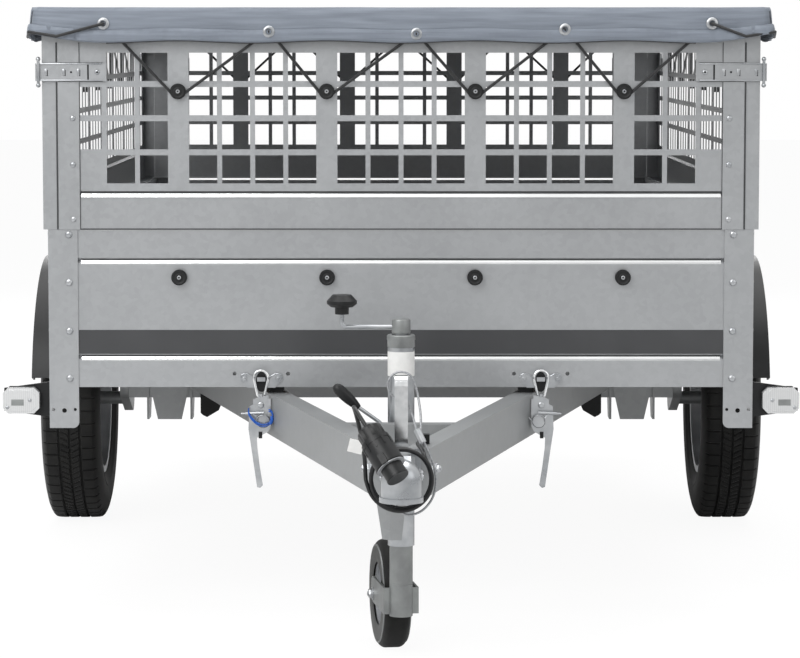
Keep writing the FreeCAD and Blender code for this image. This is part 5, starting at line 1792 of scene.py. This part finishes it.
@dataclass
class Cover:
    """Flat cover of coated cloth: sagging top, skirt with hem, eyelets and elastic cord.

    Lengths are in metres. Sides are numbered 0 front, 1 right, 2 back and 3 left.
    """

    corner: float = 0.014
    top_cells: tuple[int, int] = (92, 156)
    skirt_cells: int = 7
    bays: int = 5
    sag: float = 0.011
    sag_base: float = 0.0015
    end_reach: float = 0.06
    flare_reach: float = 0.13
    flare: float = 0.009
    flare_lift: float = 0.24
    pucker: float = 0.0035
    pucker_rate: float = 290.0
    belly: float = 0.004
    scallop: float = 0.0022
    cloth: float = 0.0008
    sewn: float = 0.0004
    smoothing: float = 0.4
    hem: float = 0.024
    hem_cloth: float = 0.0009
    hem_rows: Outline = ((1.0, 0.0012), (0.6, 0.0022), (0.2, 0.0024), (0.0, 0.0019))
    step: float = 0.012
    pitch: float = 0.285
    front_eyelets: Outline = (
        (-0.567, 0.031), (-0.252, 0.046), (0.029, 0.050), (0.312, 0.042), (0.592, 0.031),
    )
    eyelet_mm: Outline = (
        (5.0, 1.0), (6.0, 2.0), (8.5, 2.2), (10.5, 1.4), (11.5, 0.2), (9.0, -0.4), (6.0, -0.4), (5.0, 1.0),
    )
    eyelet_lift: float = 0.0010
    shadow_line_inset: float = 0.03
    shadow_line_down: float = 0.0006
    shadow_line_lift: float = 0.0008
    shadow_line_radius: float = 0.0012
    cord_radius: float = 0.003
    cord_down: float = 0.94
    cord_proud: float = 0.0045
    cord_start: Pair = (0.002, 0.05)
    eyelet_slack: float = 0.002
    eyelet_out: float = 0.0035
    eyelet_in: float = -0.0065
    button_drop: float = 0.015
    button_waist: float = 0.0122
    mesh_gap: float = 0.0063

    def __post_init__(self) -> None:
        """Reads the cover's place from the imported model."""
        self.low, self.high = (Vector(corner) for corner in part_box("cover"))
        self.half = (self.high - self.low) / 2
        self.centre = (self.high + self.low) / 2
        self.drop = self.high.z - self.low.z
        mesh_low, mesh_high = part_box("side_mesh_right")
        across, along = mesh_high[0], (mesh_high[1] - mesh_low[1]) / 2
        self.mesh_reach = (along + self.mesh_gap, across + self.mesh_gap)
        self.button_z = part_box("cord_buttons")[1][2] - self.button_drop

    def build(self) -> None:
        """Makes cloth, hem, eyelets and cord."""
        cloth = self.lay_cloth()
        hem = self.turn_hem()
        eyelets = self.punch_eyelets()
        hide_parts("cover")
        self.string_cord()

    def reach(self, side: int) -> float:
        """Gives half the width of a side."""
        return self.half.y if side % 2 else self.half.x

    def rim(self, side: int, along: float) -> tuple[Vector, Vector]:
        """Finds a place on the cover's outline.

        Args:
            side: Number of the side.
            along: Distance from the middle of that side, to the right seen from outside.

        Returns:
            The place in plan and the outward direction there.
        """
        straight = self.reach(side) - self.corner
        deep = self.reach(side + 1)
        flat, out = Vector((along, -deep)), Vector((0.0, -1.0))
        if abs(along) > straight:
            angle = (abs(along) - straight) / self.corner * math.pi / 4
            sign = math.copysign(1.0, along)
            out = Vector((sign * math.sin(angle), -math.cos(angle)))
            flat = Vector((sign * straight, self.corner - deep)) + out * self.corner
        turn = Matrix.Rotation(side * math.pi / 2, 2)
        return turn @ flat, turn @ out

    def skirt(self, side: int, along: float, down: float, lift: float = 0.0) -> Vector:
        """Finds a place on the hanging skirt.

        Args:
            side: Number of the side.
            along: Distance from the middle of the side.
            down: Distance below the fold.
            lift: Distance proud of the cloth.

        Returns:
            The place in the row frame.
        """
        place, out = self.rim(side, along)
        free = down / self.drop
        corner = self.reach(side) - abs(along)
        edge = max(0.0, 1.0 - corner / self.flare_reach)
        calm = 1.0 - edge
        pucker = math.sin(abs(corner) * self.pucker_rate) * self.pucker * edge * calm * 4
        bulge = (self.wave(side, along) * calm + pucker) * free
        bulge += self.belly * math.sin(free * math.pi) * calm + self.flare * free * edge * edge
        level = self.high.z - down * (1 - self.flare_lift * edge * edge)
        level -= self.scallop * free * calm * math.cos(along * TURN / self.pitch)
        flat = self.centre.xy + place + out * (bulge + lift)
        return Vector((*flat, level - self.dip(*flat) * (1 - free)))

    def wave(self, side: int, along: float) -> float:
        """Gives the soft waves along one skirt: one between the buttons and two finer ones."""
        rows = (
            (0.0016, TURN / self.pitch * 2, side),
            (0.0013, 61.0, side * 2.1),
            (0.0006, 143.0, 0.0),
        )
        return sum(height * math.sin(along * rate + shift) for height, rate, shift in rows)

    def dip(self, x: float, y: float) -> float:
        """Gives how far the top sags below its bars at a place."""
        run = (y - self.low.y) / (self.high.y - self.low.y) * self.bays
        between = abs(math.sin(run * math.pi)) ** 0.8
        across = max(0.0, 1 - (abs(x) / self.half.x) ** 8)
        ends = max(0.0, min(1.0, (self.half.y - abs(y - self.centre.y)) / self.end_reach))
        ripple = 0.0012 * math.sin(x * 31 + y * 7) + 0.0008 * math.sin(y * 83 + x * 11)
        return (self.sag * between + ripple + self.sag_base) * across * ends

    def lay_cloth(self) -> Thing:
        """Folds one grid into the top and its four skirts, sewn at the corners.

        Returns:
            The cloth, with its flat map for the weave.
        """
        across, along = self.top_cells
        skirt = self.skirt_cells
        columns, rows = across + 2 * skirt, along + 2 * skirt
        shape = bmesh.new()
        bmesh.ops.create_grid(shape, x_segments=columns, y_segments=rows, size=1.0)
        layer = shape.loops.layers.uv.new("flat")
        flats: dict[bmesh.types.BMVert, tuple[float, float]] = {}
        waste = []
        for vert in shape.verts:
            i = round((vert.co.x + 1) / 2 * columns) - skirt
            j = round((vert.co.y + 1) / 2 * rows) - skirt
            over_x = max(-i, i - across, 0) * self.drop / skirt
            over_y = max(-j, j - along, 0) * self.drop / skirt
            x = (min(max(i, 0), across) / across * 2 - 1) * self.half.x
            y = (min(max(j, 0), along) / along * 2 - 1) * self.half.y
            flats[vert] = (x + math.copysign(over_x, x), y + math.copysign(over_y, y))
            if over_x and over_y:
                waste.append(vert)
            elif over_y or j in (0, along):
                vert.co = self.skirt(0, x, over_y) if j <= 0 else self.skirt(2, -x, over_y)
            elif over_x or i in (0, across):
                vert.co = self.skirt(1, y, over_x) if i >= across else self.skirt(3, -y, over_x)
            else:
                spot = self.centre.xy + Vector((x, y))
                vert.co = (*spot, self.high.z - self.dip(*spot))
        for face in shape.faces:
            for loop in face.loops:
                loop[layer].uv = flats[loop.vert]
        bmesh.ops.delete(shape, geom=waste, context="VERTS")
        bmesh.ops.remove_doubles(shape, verts=shape.verts, dist=self.sewn)
        axes = {"use_axis_x": True, "use_axis_y": True, "use_axis_z": True}
        bmesh.ops.smooth_vert(shape, verts=shape.verts, factor=self.smoothing, **axes)
        return self.thicken("cover_cloth", shape, self.cloth)

    def turn_hem(self) -> Thing:
        """Folds the band of double cloth along the lower edge.

        Returns:
            The band.
        """
        walk = []
        for side in range(4):
            wide = self.reach(side)
            count = math.ceil(2 * wide / self.step)
            walk += [(side, -wide + 2 * wide * k / count) for k in range(count)]
        shape = bmesh.new()
        rows = []
        for share, lift in self.hem_rows:
            down = self.drop - self.hem * share
            rows.append([shape.verts.new(self.skirt(side, along, down, lift)) for side, along in walk])
        layer = shape.loops.layers.uv.new("flat")
        for upper, lower in zip(rows, rows[1:]):
            for k in range(len(walk)):
                following = (k + 1) % len(walk)
                face = shape.faces.new((upper[k], upper[following], lower[following], lower[k]))
                for loop in face.loops:
                    loop[layer].uv = (k * self.step, loop.vert.co.z)
        return self.thicken("cover_hem", shape, self.hem_cloth)

    def thicken(self, name: str, shape: Form, thickness: float) -> Thing:
        """Turns a layer of cloth into a piece with its thickness inward.

        Args:
            name: Name of the piece.
            shape: Outer face of the cloth; it is freed here.
            thickness: Thickness of the cloth.

        Returns:
            The new object.
        """
        made = piece(name, shape, COVER_CLOTH, Body.BED, 80.0)
        shell = made.modifiers.new("thickness", "SOLIDIFY")
        shell.thickness = thickness
        shell.offset = -1.0
        return made

    def eyelet_places(self, side: int) -> list[tuple[float, float]]:
        """Gives the eyelets of one side as (along, down)."""
        if side == 0:
            return list(self.front_eyelets)
        if side == 2:
            return [(self.pitch * (k - 2), 0.040 + 0.004 * (2 - abs(k - 2))) for k in range(5)]
        return [(self.pitch * (k - 3.5), 0.042 + 0.003 * (k % 2)) for k in range(8)]

    def punch_eyelets(self) -> Thing:
        """Presses nickel plated rings into the skirt.

        Returns:
            All the rings as one piece.
        """
        shape = bmesh.new()
        for side in range(4):
            for along, down in self.eyelet_places(side):
                out = self.rim(side, along)[1]
                matrix = aim(self.skirt(side, along, down, self.eyelet_lift), (*out, 0.0))
                lathe(shape, self.eyelet_mm, matrix, 20)
        return piece("cover_eyelets", shape, ZINC_PLATED, Body.BED)

    def string_cord(self) -> None:
        """Runs the elastic cord from eyelet to button, and a dark line under the hem as painted shadow."""
        points = [spot for side in range(4) for spot in self.cord_side(side)]
        points.append(points[0])
        wire("elastic_cord", [points], self.cord_radius, BRAID, Body.BED, kind="POLY")
        # Dark line under the hem: painted shadow.
        edges = [self.hem_shadow_points(side) for side in range(4)]
        wire("hem_shadow_line", edges, self.shadow_line_radius, BRAID, Body.BED, kind="POLY")

    def hem_shadow_points(self, side: int) -> list[Vector]:
        """Gives the dark line of painted shadow under one skirt, between its outer eyelets."""
        reach = self.eyelet_places(side)[-1][0] - self.shadow_line_inset
        down = self.drop + self.shadow_line_down
        count = math.ceil(2 * reach / self.step)
        steps = [reach * (2 * k / count - 1) for k in range(count + 1)]
        return [self.skirt(side, along, down, self.shadow_line_lift) for along in steps]

    def cord_side(self, side: int) -> list[Vector]:
        """Gives the cord's line along one side, corner to corner.

        The cord lies over the cloth at the corners, goes in at the first eyelet and out at the last,
        and runs inside the hem from button to button.

        Args:
            side: Number of the side.

        Returns:
            Its points.
        """
        wide, down, proud = self.reach(side), self.drop * self.cord_down, self.cord_proud
        eyelets = self.eyelet_places(side)
        buttons = 7 if side % 2 else 4
        points = [self.skirt(side, inset - wide, down, proud) for inset in self.cord_start]
        for index, (along, depth) in enumerate(eyelets):
            if index > 0:
                points.append(self.skirt(side, along - self.eyelet_slack, depth, self.eyelet_in))
            points.append(self.skirt(side, along, depth, self.eyelet_out))
            if index < len(eyelets) - 1:
                points.append(self.skirt(side, along + self.eyelet_slack, depth, self.eyelet_in))
            if index < buttons:
                points += self.wrap(side, self.pitch * (index - (buttons - 1) / 2))
        points.append(self.skirt(side, wide - self.cord_start[1], down, proud))
        return points

    def wrap(self, side: int, along: float) -> list[Vector]:
        """Gives the loop under one button's waist.

        Args:
            side: Number of the side.
            along: Distance of the button from the middle of the side.

        Returns:
            Points of the loop.
        """
        turn = Matrix.Rotation(side * math.pi / 2, 3, "Z")
        middle = Vector((0.0, self.centre.y, self.button_z))
        loop = []
        for k in range(7):
            angle = math.radians(-160 + k * 140 / 6)
            across = along + self.button_waist * math.cos(angle)
            spot = turn @ Vector((across, -self.mesh_reach[side % 2], self.button_waist * math.sin(angle)))
            loop.append(middle + spot)
        return loop


# Assembly


def dress_nodes(nodes: dict[str, Thing]) -> None:
    """Gives every carried-over CAD node its finish.

    Args:
        nodes: CAD nodes by name.
    """
    for finish, names in NODE_FINISHES.items():
        for name in names:
            if name not in nodes:
                continue
            materials = nodes[name].data.materials
            if not materials:
                materials.append(Stock.of(finish))
            for index in range(len(materials)):
                materials[index] = Stock.of(finish)


def main() -> None:
    """Builds the dressed trailer."""
    logging.basicConfig(level=logging.INFO, format="%(message)s")
    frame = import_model()
    Studio().build()
    dress_nodes(frame["nodes"])
    NoseCords().build(frame["nodes"])
    for trim in (NoseHardware, BoxTrim, ReleaseTrim, LampTrim, ButtonTrim, LatchTrim, TailTrim):
        trim().build()
    for side in SIDES:
        RoadTyre(side).build()
        WheelTrim(side).build()
    Cover().build()


if __name__ == "__main__":
    main()
